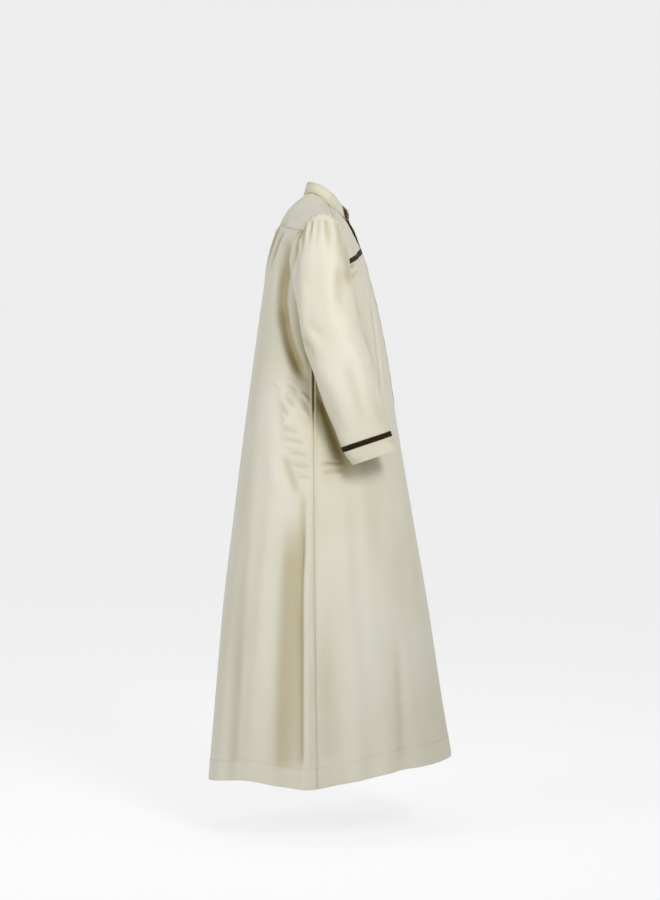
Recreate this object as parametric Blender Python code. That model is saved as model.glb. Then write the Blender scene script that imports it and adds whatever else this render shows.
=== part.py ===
"""A full-length thobe as it hangs on a wearer: satin body, stand collar, half placket, set-in sleeves.

Metres, +Z up. The garment faces -Y and +X is the wearer's left. The origin is the middle of the neck
base, where the wearer's neck and shoulders carry the cloth.

Every piece is a wall of cloth. Its outer points come from smooth surfaces that are worked out from the
sizes below, and its inner points lie one cloth thickness inside them.
"""
import math
from collections import namedtuple

import bpy
import numpy as np

MM = 0.001
SEAM_TRIM = 0.18 * MM
LAYER_GAP = 0.4 * MM
CLOTH = 1.6 * MM
FACING_CLOTH = 1.0 * MM
BAND_CLOTH = 1.2 * MM
RIBBON_CLOTH = 1.0 * MM

LEFT = 1
RIGHT = -1
MIRROR = np.array([-1.0, 1.0, 1.0])

# Body sections, from the hem up: front and back outline, half width and depth of the side seam.
Section = namedtuple("Section", "height front back half_width side")
SECTIONS = (
    Section(-1.480, -0.344, 0.2950, 0.238, 0.012),
    Section(-1.245, -0.304, 0.2757, 0.235, 0.016),
    Section(-1.013, -0.268, 0.2551, 0.230, 0.019),
    Section(-0.781, -0.227, 0.2268, 0.225, 0.021),
    Section(-0.549, -0.188, 0.1984, 0.217, 0.022),
    Section(-0.394, -0.165, 0.1780, 0.210, 0.022),
    Section(-0.270, -0.141, 0.1610, 0.205, 0.018),
    Section(-0.152, -0.110, 0.1410, 0.198, 0.012),
    Section(-0.040, -0.064, 0.1080, 0.180, 0.008),
)
SECTION_POWER = 2.2
ARM_LEVEL = -0.270

# Height of the hem round the body, by the angle from the front.
Hem = namedtuple("Hem", "angle height")
HEM = (
    Hem(0.0, -1.4045),
    Hem(30.0, -1.4110),
    Hem(55.0, -1.4215),
    Hem(75.0, -1.4420),
    Hem(92.0, -1.4610),
    Hem(104.0, -1.4600),
    Hem(124.0, -1.4460),
    Hem(148.0, -1.4570),
    Hem(180.0, -1.4740),
)

# Outline of the chest in the middle of the front, and of the back below the yoke.
Outline = namedtuple("Outline", "height depth")
CHEST = (
    Outline(-0.2700, -0.1410),
    Outline(-0.1980, -0.1210),
    Outline(-0.1520, -0.1100),
    Outline(-0.1210, -0.1000),
    Outline(-0.0770, -0.0810),
    Outline(-0.0590, -0.0730),
    Outline(-0.0315, -0.0580),
)
UPPER_BACK = (
    Outline(-0.2700, 0.1610),
    Outline(-0.1980, 0.1500),
    Outline(-0.1520, 0.1405),
    Outline(-0.1210, 0.1320),
    Outline(-0.0900, 0.1230),
    Outline(-0.0460, 0.1105),
)

# Neck seam with the collar's top edge over it, from the middle of the back to the middle of the front.
Collar = namedtuple("Collar", "x y z top_x top_y top_z")
NECK = (
    Collar(0.0000, 0.0515, 0.0260, 0.0000, 0.0410, 0.0620),
    Collar(0.0340, 0.0440, 0.0295, 0.0280, 0.0350, 0.0610),
    Collar(0.0570, 0.0260, 0.0290, 0.0470, 0.0190, 0.0555),
    Collar(0.0690, 0.0080, 0.0180, 0.0570, 0.0010, 0.0480),
    Collar(0.0705, -0.0110, 0.0010, 0.0590, -0.0150, 0.0370),
    Collar(0.0600, -0.0310, -0.0150, 0.0510, -0.0300, 0.0240),
    Collar(0.0360, -0.0480, -0.0255, 0.0330, -0.0430, 0.0085),
    Collar(0.0120, -0.0567, -0.0310, 0.0120, -0.0520, -0.0080),
    Collar(0.0000, -0.0585, -0.0315, 0.0000, -0.0540, -0.0130),
)
YOKE_NECK_ROW = 4
COLLAR_END_ROW = 7
COLLAR_GAP = 0.6 * MM

# The armhole seam, once round from the underarm by the front; turn is its share of the way.
Armhole = namedtuple("Armhole", "turn x y z")
ARMHOLE = (
    Armhole(0.000, 0.205, 0.018, -0.270),
    Armhole(0.125, 0.199, -0.040, -0.232),
    Armhole(0.250, 0.203, -0.063, -0.160),
    Armhole(0.375, 0.222, -0.052, -0.088),
    Armhole(0.440, 0.232, -0.030, -0.056),
    Armhole(0.500, 0.236, 0.002, -0.045),
    Armhole(0.560, 0.230, 0.032, -0.057),
    Armhole(0.625, 0.212, 0.057, -0.083),
    Armhole(0.750, 0.204, 0.079, -0.150),
    Armhole(0.875, 0.203, 0.066, -0.226),
)
YOKE_FRONT_TURN = 0.440
YOKE_BACK_TURN = 0.625

# Lower seam of the yoke, from the middle of the back to the armhole.
YOKE_SEAM_MIDDLE = (0.0, 0.1105, -0.046)
YOKE_SEAM_SIDE = (0.120, 0.0880, -0.067)
YOKE_SEAM_END = (0.212, 0.0570, -0.083)
YOKE_CORNER = 0.62
YOKE_CROWN_BACK = 8.0 * MM
YOKE_CROWN_SHOULDER = 3.0 * MM

# Share of the chest and back over which the panels leave the plain body.
BLEND_RISE = 0.55

# Points inside the garment that the outer side of its panels faces away from.
BODY_CENTRE = np.array([0.0, 0.02, 0.0])
YOKE_CENTRE = np.array([0.0, 0.02, -0.3])
COLLAR_CENTRE = np.array([0.0, 0.0, 0.0])

# Rings of the left sleeve: centre, half sizes front to back and side to side, and forward tilt in degrees.
Ring = namedtuple("Ring", "x y z half_depth half_width tilt")
SLEEVE = (
    Ring(0.2680, -0.0144, -0.3020, 0.0720, 0.0560, 9.0),
    Ring(0.2740, -0.0270, -0.3600, 0.0730, 0.0550, 14.0),
    Ring(0.2760, -0.0460, -0.4140, 0.0725, 0.0545, 17.5),
    Ring(0.2720, -0.0640, -0.4760, 0.0705, 0.0530, 18.6),
    Ring(0.2640, -0.0870, -0.5400, 0.0675, 0.0500, 18.6),
    Ring(0.2560, -0.1082, -0.6054, 0.0640, 0.0460, 18.6),
    Ring(0.2500, -0.1315, -0.6434, 0.0612, 0.0430, 18.6),
)

# Top of the sleeve: the way it leaves the armhole, outwards, down and forwards, and how much each of
# these changes from the underarm to the shoulder; then how straight it reaches the first ring.
CAP_LEAN = 0.72
CAP_LEAN_CHANGE = 0.24
CAP_FALL = 0.62
CAP_FALL_CHANGE = 0.30
CAP_AHEAD = 0.10
CAP_REACH = 0.62
CAP_ARRIVE = 1.05
CAP_GAP = 0.6 * MM
CUFF_RIBBON_WIDTH = 13.0 * MM

# Placket: two bands over a slot in the front, which part at the neck.
SLOT_HALF_WIDTH = 17.0 * MM
BAND_OFFSETS = (-18.0 * MM, -16.4 * MM, -8.0 * MM, 0.0, 8.0 * MM, 16.4 * MM, 18.0 * MM)
BAND_OVERRUN = 6.0 * MM
NECK_OPENING_BOTTOM = -0.115
NECK_OPENING_SHIFT = 30.0 * MM

# How far the open left edge stands forward of the right one.
Lift = namedtuple("Lift", "height forward")
OPEN_EDGE = (
    Lift(-0.1300, 0.0000),
    Lift(-0.1100, 0.0005),
    Lift(-0.0770, 0.0045),
    Lift(-0.0590, 0.0055),
    Lift(-0.0400, 0.0065),
    Lift(-0.0240, 0.0125),
    Lift(0.0000, 0.0120),
    Lift(0.0700, 0.0120),
)
OPEN_EDGE_NEAR = 0.012
OPEN_EDGE_FAR = 0.057
OPEN_EDGE_DEPTH = 0.03

# Dark ribbon across the chest: heights where it meets the armhole and the placket.
CHEST_RIBBON_WIDTH = 12.0 * MM
CHEST_RIBBON_OUTER = -0.159
CHEST_RIBBON_INNER = -0.113
CHEST_RIBBON_SAG = 1.0 * MM
CHEST_RIBBON_REACH = 0.205
CHEST_RIBBON_START = 0.15
CHEST_RIBBON_END = 0.15
CHEST_RIBBON_STEPS = 3
CHEST_RIBBON_GAP = 0.6 * MM

# Centre-back box pleat under the yoke.
PLEAT_HALF_WIDTH = 24.0 * MM
PLEAT_FOLD = 5.0 * MM
PLEAT_RISE = 5.0 * MM
PLEAT_BOTTOM = -0.215
PLEAT_FADE = 0.12
PLEAT_OPENING = 0.02

# Large soft folds of the skirt: angle from the front, half width in degrees, depth outwards (ridges)
# or inwards (valleys, negative) at the hem, and the heights where each starts and is full.
Fold = namedtuple("Fold", "side angle half_width depth top full")
FOLDS = (
    Fold(RIGHT, 105.0, 9.0, -0.0130, -0.62, -1.00),
    Fold(RIGHT, 95.5, 5.5, 0.0050, -0.66, -1.10),
    Fold(RIGHT, 122.0, 10.0, 0.0060, -0.60, -1.10),
    Fold(RIGHT, 143.0, 9.0, -0.0070, -0.70, -1.25),
    Fold(RIGHT, 84.0, 5.5, -0.0060, -0.95, -1.30),
    Fold(RIGHT, 74.0, 8.0, 0.0080, -0.70, -1.00),
    Fold(RIGHT, 53.0, 8.0, -0.0080, -0.95, -1.35),
    Fold(RIGHT, 36.0, 9.0, 0.0050, -0.90, -1.30),
    Fold(LEFT, 102.0, 9.0, -0.0110, -0.66, -1.05),
    Fold(LEFT, 118.0, 9.0, 0.0060, -0.62, -1.10),
    Fold(LEFT, 138.0, 10.0, -0.0080, -0.68, -1.20),
    Fold(LEFT, 86.0, 6.0, -0.0050, -0.90, -1.30),
    Fold(LEFT, 72.0, 9.0, 0.0080, -0.66, -1.05),
    Fold(LEFT, 49.0, 8.0, -0.0090, -0.88, -1.30),
    Fold(LEFT, 30.0, 8.0, 0.0050, -0.92, -1.32),
)

# Side-seam pocket: the opening between front and back, and the bag behind it.
POCKET_TOP = -0.395
POCKET_BOTTOM = -0.540
POCKET_PART = 1.5 * MM
BAG_TOP = -0.37
BAG_BOTTOM = -0.71
BAG_COLUMNS = 3

# Grid of the walls. Skirt rows are shares of the way from hem to underarm.
SKIRT_ROWS = (0.0, 0.055, 0.12, 0.195, 0.27, 0.345, 0.42, 0.495, 0.57, 0.64,
              0.705, 0.757, 0.791, 0.829, 0.866, 0.899, 0.95, 1.0)
SLOT_ROW = 12
UPPER_ROWS = 8
FRONT_NECK_COLUMNS = 4
FRONT_SIDE_COLUMNS = 11
FRONT_NECK_SHARE = 0.33
BACK_COLUMNS = (0.0, 0.085, 0.115, 0.175, 0.25, 0.33, 0.41, 0.48, 0.55, 0.62,
                0.69, 0.745, 0.79, 0.835, 0.88, 0.94, 1.0)
YOKE_SHOULDER_COLUMNS = 5
YOKE_FRONT_COLUMNS = (0, 3, 6, 9, 11)
COLLAR_ROWS = 3
COLLAR_COLUMNS = 20
CAP_ROWS = 6
ARM_ROWS_PER_RING = 2
SHARP_ANGLE = math.radians(50.0)

# Search for a column of the front at a distance from the middle: widest share, and number of halvings.
SHARE_LIMIT = 0.6
HALVINGS = 30

# Cloth materials.
Finish = namedtuple("Finish", "name colour roughness sheen")
IVORY_SATIN = Finish("ivory_satin", (0.78, 0.74, 0.65), 0.45, 0.3)
BROWN_SATIN = Finish("brown_satin", (0.30, 0.18, 0.09), 0.4, 0.2)
DARK_RIBBON = Finish("dark_ribbon", (0.035, 0.022, 0.018), 0.5, 0.1)


def ease(value):
    """Smooth step from 0 to 1."""
    share = np.clip(value, 0.0, 1.0)
    return share * share * (3.0 - 2.0 * share)


def through(knots, values, where):
    """Smooth curve through rows of values at rising knots."""
    knots = np.asarray(knots, dtype=float)
    values = np.asarray(values, dtype=float)
    slopes = np.gradient(values, knots, axis=0)
    where = np.asarray(where, dtype=float)
    left = np.clip(np.searchsorted(knots, where, side="right") - 1, 0, len(knots) - 2)
    span = knots[left + 1] - knots[left]
    t = np.clip((where - knots[left]) / span, 0.0, 1.0)
    if values.ndim > 1:
        t = t[..., None]
        span = span[..., None]
    start = (1.0 + 2.0 * t) * (1.0 - t) ** 2
    leave = t * (1.0 - t) ** 2
    end = t * t * (3.0 - 2.0 * t)
    arrive = t * t * (t - 1.0)
    return (start * values[left] + leave * span * slopes[left]
            + end * values[left + 1] + arrive * span * slopes[left + 1])


def unit(vectors):
    """Vectors scaled to length 1."""
    length = np.linalg.norm(vectors, axis=-1, keepdims=True)
    return vectors / np.maximum(length, 1e-12)


def section_at(height):
    """Front, back, half width and side-seam depth of the body at a height."""
    rows = through([s.height for s in SECTIONS], [s[1:] for s in SECTIONS], height)
    return rows[..., 0], rows[..., 1], rows[..., 2], rows[..., 3]


def fold_depth(side, angle, height):
    """How far the skirt's folds move the cloth outwards, angle in degrees from the front."""
    total = np.zeros(np.broadcast(angle, height).shape)
    for fold in FOLDS:
        across = np.clip(1.0 - ((angle - fold.angle) / fold.half_width) ** 2, 0.0, 1.0) ** 2
        down = ease((fold.top - height) / (fold.top - fold.full))
        total += np.where(side == fold.side, fold.depth * across * down, 0.0)
    return total


def body_point(side, angle, height):
    """Point on the plain body: angle from the front in radians, side LEFT or RIGHT."""
    front, back, half_width, seam = section_at(height)
    reach = np.where(angle <= math.pi / 2, seam - front, back - seam)
    across = np.sin(angle)
    along = np.cos(angle)
    size = (np.abs(along) ** SECTION_POWER + np.abs(across) ** SECTION_POWER) ** (-1.0 / SECTION_POWER)
    x = half_width * size * across
    y = seam - reach * size * along
    out_x = x / half_width ** 2
    out_y = (y - seam) / reach ** 2
    out_length = np.hypot(out_x, out_y)
    move = fold_depth(side, np.degrees(angle), height)
    x = x + move * out_x / out_length
    y = y + move * out_y / out_length
    return np.stack([x, y, np.broadcast_to(height, x.shape)], axis=-1)


def skirt_point(side, angle, share):
    """Point on the skirt, share 0 at the hem and 1 at the underarm level."""
    hem = through([row.angle for row in HEM], [row.height for row in HEM], np.degrees(angle))
    return body_point(side, angle, hem + (ARM_LEVEL - hem) * share)


NECK_POINTS = np.array([row[:3] for row in NECK])
COLLAR_TOPS = np.array([row[3:] for row in NECK])
NECK_KNOTS = np.concatenate([[0.0], np.cumsum(np.linalg.norm(np.diff(NECK_POINTS, axis=0), axis=1))])
NECK_KNOTS = NECK_KNOTS / NECK_KNOTS[-1]
YOKE_NECK = NECK_KNOTS[YOKE_NECK_ROW]
COLLAR_END = NECK_KNOTS[COLLAR_END_ROW]


def mirrored_ends(knots, points):
    """Knots and points with a mirrored one past each end, so that the curve crosses X = 0 squarely."""
    knots = np.concatenate([[-knots[1]], knots, [2.0 * knots[-1] - knots[-2]]])
    points = np.concatenate([[points[1] * MIRROR], points, [points[-2] * MIRROR]])
    return knots, points


def neck_point(share):
    """Neck seam, share 0 at the middle of the back and 1 at the middle of the front."""
    return through(*mirrored_ends(NECK_KNOTS, NECK_POINTS), share)


def collar_top(share):
    """Top edge of the collar over the neck seam."""
    return through(*mirrored_ends(NECK_KNOTS, COLLAR_TOPS), share)


def armhole_point(turn):
    """Armhole seam of the left side."""
    turns = [row.turn - 1.0 for row in ARMHOLE[-2:]] + [row.turn for row in ARMHOLE]
    turns += [row.turn + 1.0 for row in ARMHOLE[:3]]
    points = [row[1:] for row in ARMHOLE[-2:] + ARMHOLE + ARMHOLE[:3]]
    return through(turns, points, turn)


def yoke_seam(share):
    """Back seam of the yoke, share 0 in the middle and 1 at the armhole."""
    mirrored = (-YOKE_SEAM_SIDE[0], YOKE_SEAM_SIDE[1], YOKE_SEAM_SIDE[2])
    middle = YOKE_SEAM_SIDE[0] / YOKE_SEAM_END[0]
    return through([-middle, 0.0, middle, 1.0],
                   [mirrored, YOKE_SEAM_MIDDLE, YOKE_SEAM_SIDE, YOKE_SEAM_END], share)


def yoke_point(along, across):
    """Half yoke: along 0 at the middle of the back, 1 at its front seam; across from neck to outer edge."""
    inner = neck_point(along * YOKE_NECK)
    on_back = yoke_seam(along / YOKE_CORNER)
    past_corner = (along - YOKE_CORNER) / (1.0 - YOKE_CORNER)
    on_armhole = armhole_point(YOKE_BACK_TURN + (YOKE_FRONT_TURN - YOKE_BACK_TURN) * past_corner)
    outer = np.where((along <= YOKE_CORNER)[..., None], on_back, on_armhole)
    ruling = unit(outer - inner)
    up = np.array([0.0, 0.0, 1.0])
    crown = unit(up - ruling * ruling[..., 2:3])
    rise = YOKE_CROWN_BACK + (YOKE_CROWN_SHOULDER - YOKE_CROWN_BACK) * ease(along / YOKE_CORNER)
    rise = rise * (1.0 - ease(past_corner * 2.0 - 1.0))
    across = across[..., None]
    return inner + (outer - inner) * across + crown * rise[..., None] * 4.0 * across * (1.0 - across)


def front_top(share):
    """Top edge of half the front: the neck seam, then the yoke's front seam."""
    on_neck = neck_point(1.0 - share / FRONT_NECK_SHARE * (1.0 - YOKE_NECK))
    past_neck = np.clip((share - FRONT_NECK_SHARE) / (1.0 - FRONT_NECK_SHARE), 0.0, 1.0)
    on_yoke = yoke_point(np.ones_like(past_neck), past_neck)
    return np.where((share <= FRONT_NECK_SHARE)[..., None], on_neck, on_yoke)


def middle_line(outline, share):
    """Outline of the chest or upper back in the plane X = 0, share 0 at the underarm level."""
    heights = np.array([row.height for row in outline])
    height = heights[0] + (heights[-1] - heights[0]) * share
    depth = through(heights, [row.depth for row in outline], height)
    return np.stack([np.zeros_like(height), depth, height], axis=-1)


def spanned(share, rise, bottom, top, middle, edge):
    """Patch between four edge curves."""
    u = share[..., None]
    t = rise[..., None]
    rows = (1.0 - t) * bottom(share) + t * top(share)
    start = np.zeros_like(share)
    end = np.ones_like(share)
    first = (1.0 - t) * bottom(start) + t * top(start)
    last = (1.0 - t) * bottom(end) + t * top(end)
    return rows + (1.0 - u) * (middle(rise) - first) + u * (edge(rise) - last)


def eased_to_body(patch, share, rise, angle):
    """Patch blended with the plain body above the underarm level, but not at the armhole."""
    height = ARM_LEVEL + (SECTIONS[-1].height - ARM_LEVEL) * rise
    plain = body_point(LEFT, angle, height)
    weight = (1.0 - ease(rise / BLEND_RISE)) * (1.0 - share ** 3)
    return patch + (plain - patch) * weight[..., None]


def front_upper(share, rise):
    """Upper front of the left side, share 0 in the middle and 1 at the armhole."""
    angle = share * math.pi / 2
    patch = spanned(share, rise,
                    lambda s: body_point(LEFT, s * math.pi / 2, np.full_like(s, ARM_LEVEL)),
                    front_top,
                    lambda r: middle_line(CHEST, r),
                    lambda r: armhole_point(r * YOKE_FRONT_TURN))
    return eased_to_body(patch, share, rise, angle)


def back_upper(share, rise):
    """Upper back of the left side, share 0 in the middle and 1 at the armhole."""
    angle = math.pi - share * math.pi / 2
    patch = spanned(share, rise,
                    lambda s: body_point(LEFT, math.pi - s * math.pi / 2, np.full_like(s, ARM_LEVEL)),
                    yoke_seam,
                    lambda r: middle_line(UPPER_BACK, r),
                    lambda r: armhole_point(1.0 + r * (YOKE_BACK_TURN - 1.0)))
    return eased_to_body(patch, share, rise, angle)


def pleat_rise(points):
    """Outward step of the centre-back box pleat."""
    across = ease((PLEAT_HALF_WIDTH - np.abs(points[..., 0])) / PLEAT_FOLD)
    height = points[..., 2]
    down = ease((height - PLEAT_BOTTOM) / PLEAT_FADE) * ease((YOKE_SEAM_MIDDLE[2] - height) / PLEAT_OPENING)
    return PLEAT_RISE * across * down


def half_body(side, share, level, back):
    """Front or back surface of one side: level 0 at the hem, 1 at the underarm, 2 at the top."""
    angle = share * math.pi / 2
    if back:
        angle = math.pi - angle
    lower = skirt_point(side, angle, np.clip(level, 0.0, 1.0))
    rise = np.clip(level - 1.0, 0.0, 1.0)
    if back:
        upper = back_upper(share, rise)
    else:
        upper = front_upper(share, rise)
    points = np.where((level <= 1.0)[..., None], lower, upper)
    if back:
        points[..., 1] += pleat_rise(points)
    points[..., 0] *= side
    return points


def open_edge(points):
    """Points of the left side with the unfastened edge at the neck standing forward."""
    heights = [row.height for row in OPEN_EDGE]
    forward = through(heights, [row.forward for row in OPEN_EDGE], points[..., 2])
    near = 1.0 - ease((points[..., 0] - OPEN_EDGE_NEAR) / (OPEN_EDGE_FAR - OPEN_EDGE_NEAR))
    at_front = ease(-points[..., 1] / OPEN_EDGE_DEPTH)
    moved = points.copy()
    moved[..., 1] -= forward * near * at_front
    return moved


def share_at(side, distance, level):
    """Share of the front at a distance from the middle line, for arrays of distances and levels."""
    low = np.zeros_like(distance)
    high = np.full_like(distance, SHARE_LIMIT)
    for _ in range(HALVINGS):
        middle = 0.5 * (low + high)
        inside = np.abs(half_body(side, middle, level, back=False)[..., 0]) < distance
        low = np.where(inside, middle, low)
        high = np.where(inside, high, middle)
    return 0.5 * (low + high)


def normals_of(points, closed=False):
    """Unit normals of a grid of points; closed when its columns meet."""
    down = np.gradient(points, axis=0)
    if closed:
        along = np.roll(points, -1, axis=1) - np.roll(points, 1, axis=1)
    else:
        along = np.gradient(points, axis=1)
    return unit(np.cross(along, down))


def facing_out(points, normals, centre):
    """Normals turned away from a centre point or from a line of centres, one for each row."""
    away = np.sum(normals * (points - centre), axis=-1)
    return normals * np.where(np.sum(away) < 0.0, -1.0, 1.0)


def trimmed(points, rows=(True, True), columns=(True, True)):
    """Grid with its chosen edges drawn in by the seam trim."""
    result = points.copy()
    if rows[0]:
        result[0] += unit(points[1] - points[0]) * SEAM_TRIM
    if rows[1]:
        result[-1] += unit(points[-2] - points[-1]) * SEAM_TRIM
    if columns[0]:
        result[:, 0] += unit(points[:, 1] - points[:, 0]) * SEAM_TRIM
    if columns[1]:
        result[:, -1] += unit(points[:, -2] - points[:, -1]) * SEAM_TRIM
    return result


def cloth(name, outer, inner, material, closed=False, kept=None, mirrored_from=None):
    """Object for a wall between two grids of points.

    Kept marks the cells that are cloth. Cells from column mirrored_from on are cut along their other
    diagonal, so that the left half of a panel mirrors its right half.
    """
    rows, columns = outer.shape[:2]
    cells = columns if closed else columns - 1
    if kept is None:
        kept = np.ones((rows - 1, cells), dtype=bool)
    triangles = []
    for i in range(rows - 1):
        for j in range(cells):
            if kept[i, j]:
                k = (j + 1) % columns
                a, b, c, d = i * columns + j, i * columns + k, (i + 1) * columns + k, (i + 1) * columns + j
                if mirrored_from is not None and j >= mirrored_from:
                    triangles += [(a, b, d), (b, c, d)]
                else:
                    triangles += [(a, b, c), (a, c, d)]
    flat_outer = outer.reshape(-1, 3)
    flat_inner = inner.reshape(-1, 3)
    turned = 0.0
    for a, b, c in triangles:
        normal = np.cross(flat_outer[b] - flat_outer[a], flat_outer[c] - flat_outer[a])
        turned += float(np.dot(normal, flat_outer[a] - flat_inner[a]))
    if turned < 0.0:
        triangles = [(a, c, b) for a, b, c in triangles]
    edges = {(t[i], t[(i + 1) % 3]) for t in triangles for i in range(3)}
    count = rows * columns
    faces = list(triangles)
    faces += [(c + count, b + count, a + count) for a, b, c in triangles]
    for a, b in sorted(edges):
        if (b, a) not in edges:
            faces += [(b, a, a + count), (b, a + count, b + count)]
    used = sorted({corner for face in faces for corner in face})
    place = {corner: index for index, corner in enumerate(used)}
    points = np.concatenate([flat_outer, flat_inner])[used]
    mesh = bpy.data.meshes.new(name)
    mesh.from_pydata([tuple(p) for p in points.tolist()], [], [tuple(place[c] for c in f) for f in faces])
    mesh.validate()
    mesh.shade_smooth()
    mesh.set_sharp_from_angle(angle=SHARP_ANGLE)
    thing = bpy.data.objects.new(name, mesh)
    thing.data.materials.append(material)
    bpy.context.scene.collection.objects.link(thing)
    return thing


def make_material(finish):
    """Cloth material."""
    material = bpy.data.materials.new(finish.name)
    material.use_nodes = True
    shader = material.node_tree.nodes["Principled BSDF"]
    shader.inputs["Base Color"].default_value = (*finish.colour, 1.0)
    shader.inputs["Roughness"].default_value = finish.roughness
    shader.inputs["Metallic"].default_value = 0.0
    shader.inputs["Sheen Weight"].default_value = finish.sheen
    return material


def panel_levels():
    """Levels of the rows that front and back share."""
    return np.concatenate([SKIRT_ROWS, 1.0 + np.arange(1, UPPER_ROWS + 1) / UPPER_ROWS])


def opening_shift(level):
    """How far the slot and its bands stand to each side of the middle near the neck."""
    height = middle_line(CHEST, np.clip(level - 1.0, 0.0, 1.0))[..., 2]
    top = CHEST[-1].height
    share = (height - NECK_OPENING_BOTTOM) / (top - NECK_OPENING_BOTTOM)
    return NECK_OPENING_SHIFT * np.clip(share, 0.0, 1.0)


def front_shares(side, levels):
    """Shares of the front's columns, row by row, from the slot's edge to the side."""
    edge = share_at(side, SLOT_HALF_WIDTH + opening_shift(levels), levels)
    near = np.arange(FRONT_NECK_COLUMNS) / FRONT_NECK_COLUMNS
    far = np.arange(FRONT_SIDE_COLUMNS + 1) / FRONT_SIDE_COLUMNS
    neck = edge[:, None] + (FRONT_NECK_SHARE - edge[:, None]) * near
    rest = np.broadcast_to(FRONT_NECK_SHARE + (1.0 - FRONT_NECK_SHARE) * far, (len(levels), len(far)))
    return np.concatenate([neck, rest], axis=1)


def part_pocket(points, normals, direction):
    """Side edge of a panel drawn back along the pocket opening."""
    height = points[:, 2]
    middle = 0.5 * (POCKET_TOP + POCKET_BOTTOM)
    half = 0.5 * (POCKET_TOP - POCKET_BOTTOM)
    inside = np.clip(1.0 - ((height - middle) / half) ** 2, 0.0, 1.0)
    return points + direction * POCKET_PART * ease(inside * 2.0)[:, None]


def front_half(side, levels):
    """Outer points and normals of half the front, from the slot's edge to the side."""
    shares = front_shares(side, levels)
    grid_levels = np.broadcast_to(levels[:, None], shares.shape)
    points = half_body(side, shares, grid_levels, back=False)
    if side == LEFT:
        points = open_edge(points)
    normals = facing_out(points, normals_of(points), BODY_CENTRE)
    points[:, -1] = part_pocket(points[:, -1], normals[:, -1], np.array([0.0, -1.0, 0.0]))
    return points, normals


def back_half(side, levels):
    """Outer points and normals of half the back, from the middle to the side."""
    shares, grid_levels = np.meshgrid(np.array(BACK_COLUMNS), levels)
    points = half_body(side, shares, grid_levels, back=True)
    normals = facing_out(points, normals_of(points), BODY_CENTRE)
    points[:, -1] = part_pocket(points[:, -1], normals[:, -1], np.array([0.0, 1.0, 0.0]))
    return points, normals


def joined_halves(right, left, middle=None):
    """Both halves of a panel in one grid, right side first, with the middle column between."""
    parts = [right[:, ::-1]]
    if middle is not None:
        parts.append(middle[:, None])
    parts.append(left)
    return np.concatenate(parts, axis=1)


def yoke_steps():
    """Columns of half the yoke, shared with the top of the back and with the armhole."""
    on_back = np.array(BACK_COLUMNS) * YOKE_CORNER
    past_corner = np.arange(1, YOKE_SHOULDER_COLUMNS + 1) / YOKE_SHOULDER_COLUMNS
    return np.concatenate([on_back, YOKE_CORNER + (1.0 - YOKE_CORNER) * past_corner])


def yoke_half(side):
    """Outer points and normals of half the yoke, rows from the neck to its outer edge."""
    across = np.array(YOKE_FRONT_COLUMNS) / FRONT_SIDE_COLUMNS
    along_grid, across_grid = np.meshgrid(yoke_steps(), across)
    left = yoke_point(along_grid, across_grid)
    both = joined_halves((left * MIRROR)[:, 1:], left)
    normals = facing_out(both, normals_of(both), YOKE_CENTRE)[:, left.shape[1] - 1:]
    if side == RIGHT:
        return left * MIRROR, normals * MIRROR
    return left, normals


def share_seam_normals(front_normals, back_normals, yoke_normals):
    """One normal for both edges of each yoke seam, so that the two walls stay apart."""
    back_columns = len(BACK_COLUMNS)
    on_back = unit(back_normals[-1] + yoke_normals[-1, :back_columns])
    back_normals[-1] = on_back
    yoke_normals[-1, :back_columns] = on_back
    rows = np.array(YOKE_FRONT_COLUMNS)
    columns = np.arange(FRONT_SIDE_COLUMNS + 1)
    on_yoke = np.stack([np.interp(columns, rows, yoke_normals[:, -1, axis]) for axis in range(3)], axis=-1)
    on_front = unit(front_normals[-1, FRONT_NECK_COLUMNS:] + on_yoke)
    front_normals[-1, FRONT_NECK_COLUMNS:] = on_front
    yoke_normals[:, -1] = on_front[rows]


def body_halves(side):
    """Points and normals of one side's front, back and yoke."""
    levels = panel_levels()
    front, front_normals = front_half(side, levels)
    back, back_normals = back_half(side, levels)
    yoke, yoke_normals = yoke_half(side)
    share_seam_normals(front_normals, back_normals, yoke_normals)
    return (front, front_normals), (back, back_normals), (yoke, yoke_normals)


def make_front(right_half, left_half, material):
    """Front panel with the placket slot."""
    levels = panel_levels()
    right, right_normals = right_half
    left, left_normals = left_half
    middle = half_body(LEFT, np.zeros_like(levels), levels, back=False)
    middle_normals = unit(right_normals[:, 0] + left_normals[:, 0])
    outer = trimmed(joined_halves(right, left, middle), rows=(False, True))
    normals = joined_halves(right_normals, left_normals, middle_normals)
    kept = np.ones((outer.shape[0] - 1, outer.shape[1] - 1), dtype=bool)
    centre = right.shape[1]
    kept[SLOT_ROW:, centre - 1:centre + 1] = False
    cloth("front", outer, outer - normals * CLOTH, material, kept=kept, mirrored_from=centre)


def make_back(right_half, left_half, material):
    """Back panel with its box pleat."""
    right, right_normals = right_half
    left, left_normals = left_half
    outer = trimmed(joined_halves(right[:, 1:], left), rows=(False, True))
    normals = joined_halves(right_normals[:, 1:], left_normals)
    centre = right.shape[1] - 1
    normals[:, centre, 0] = 0.0
    cloth("back", outer, outer - unit(normals) * CLOTH, material, mirrored_from=centre)


def make_yoke(right_half, left_half, material):
    """Yoke over both shoulders."""
    right, right_normals = right_half
    left, left_normals = left_half
    outer = trimmed(joined_halves(right[:, 1:], left))
    normals = joined_halves(right_normals[:, 1:], left_normals)
    cloth("yoke", outer, outer - normals * CLOTH, material, mirrored_from=right.shape[1] - 1)


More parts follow.
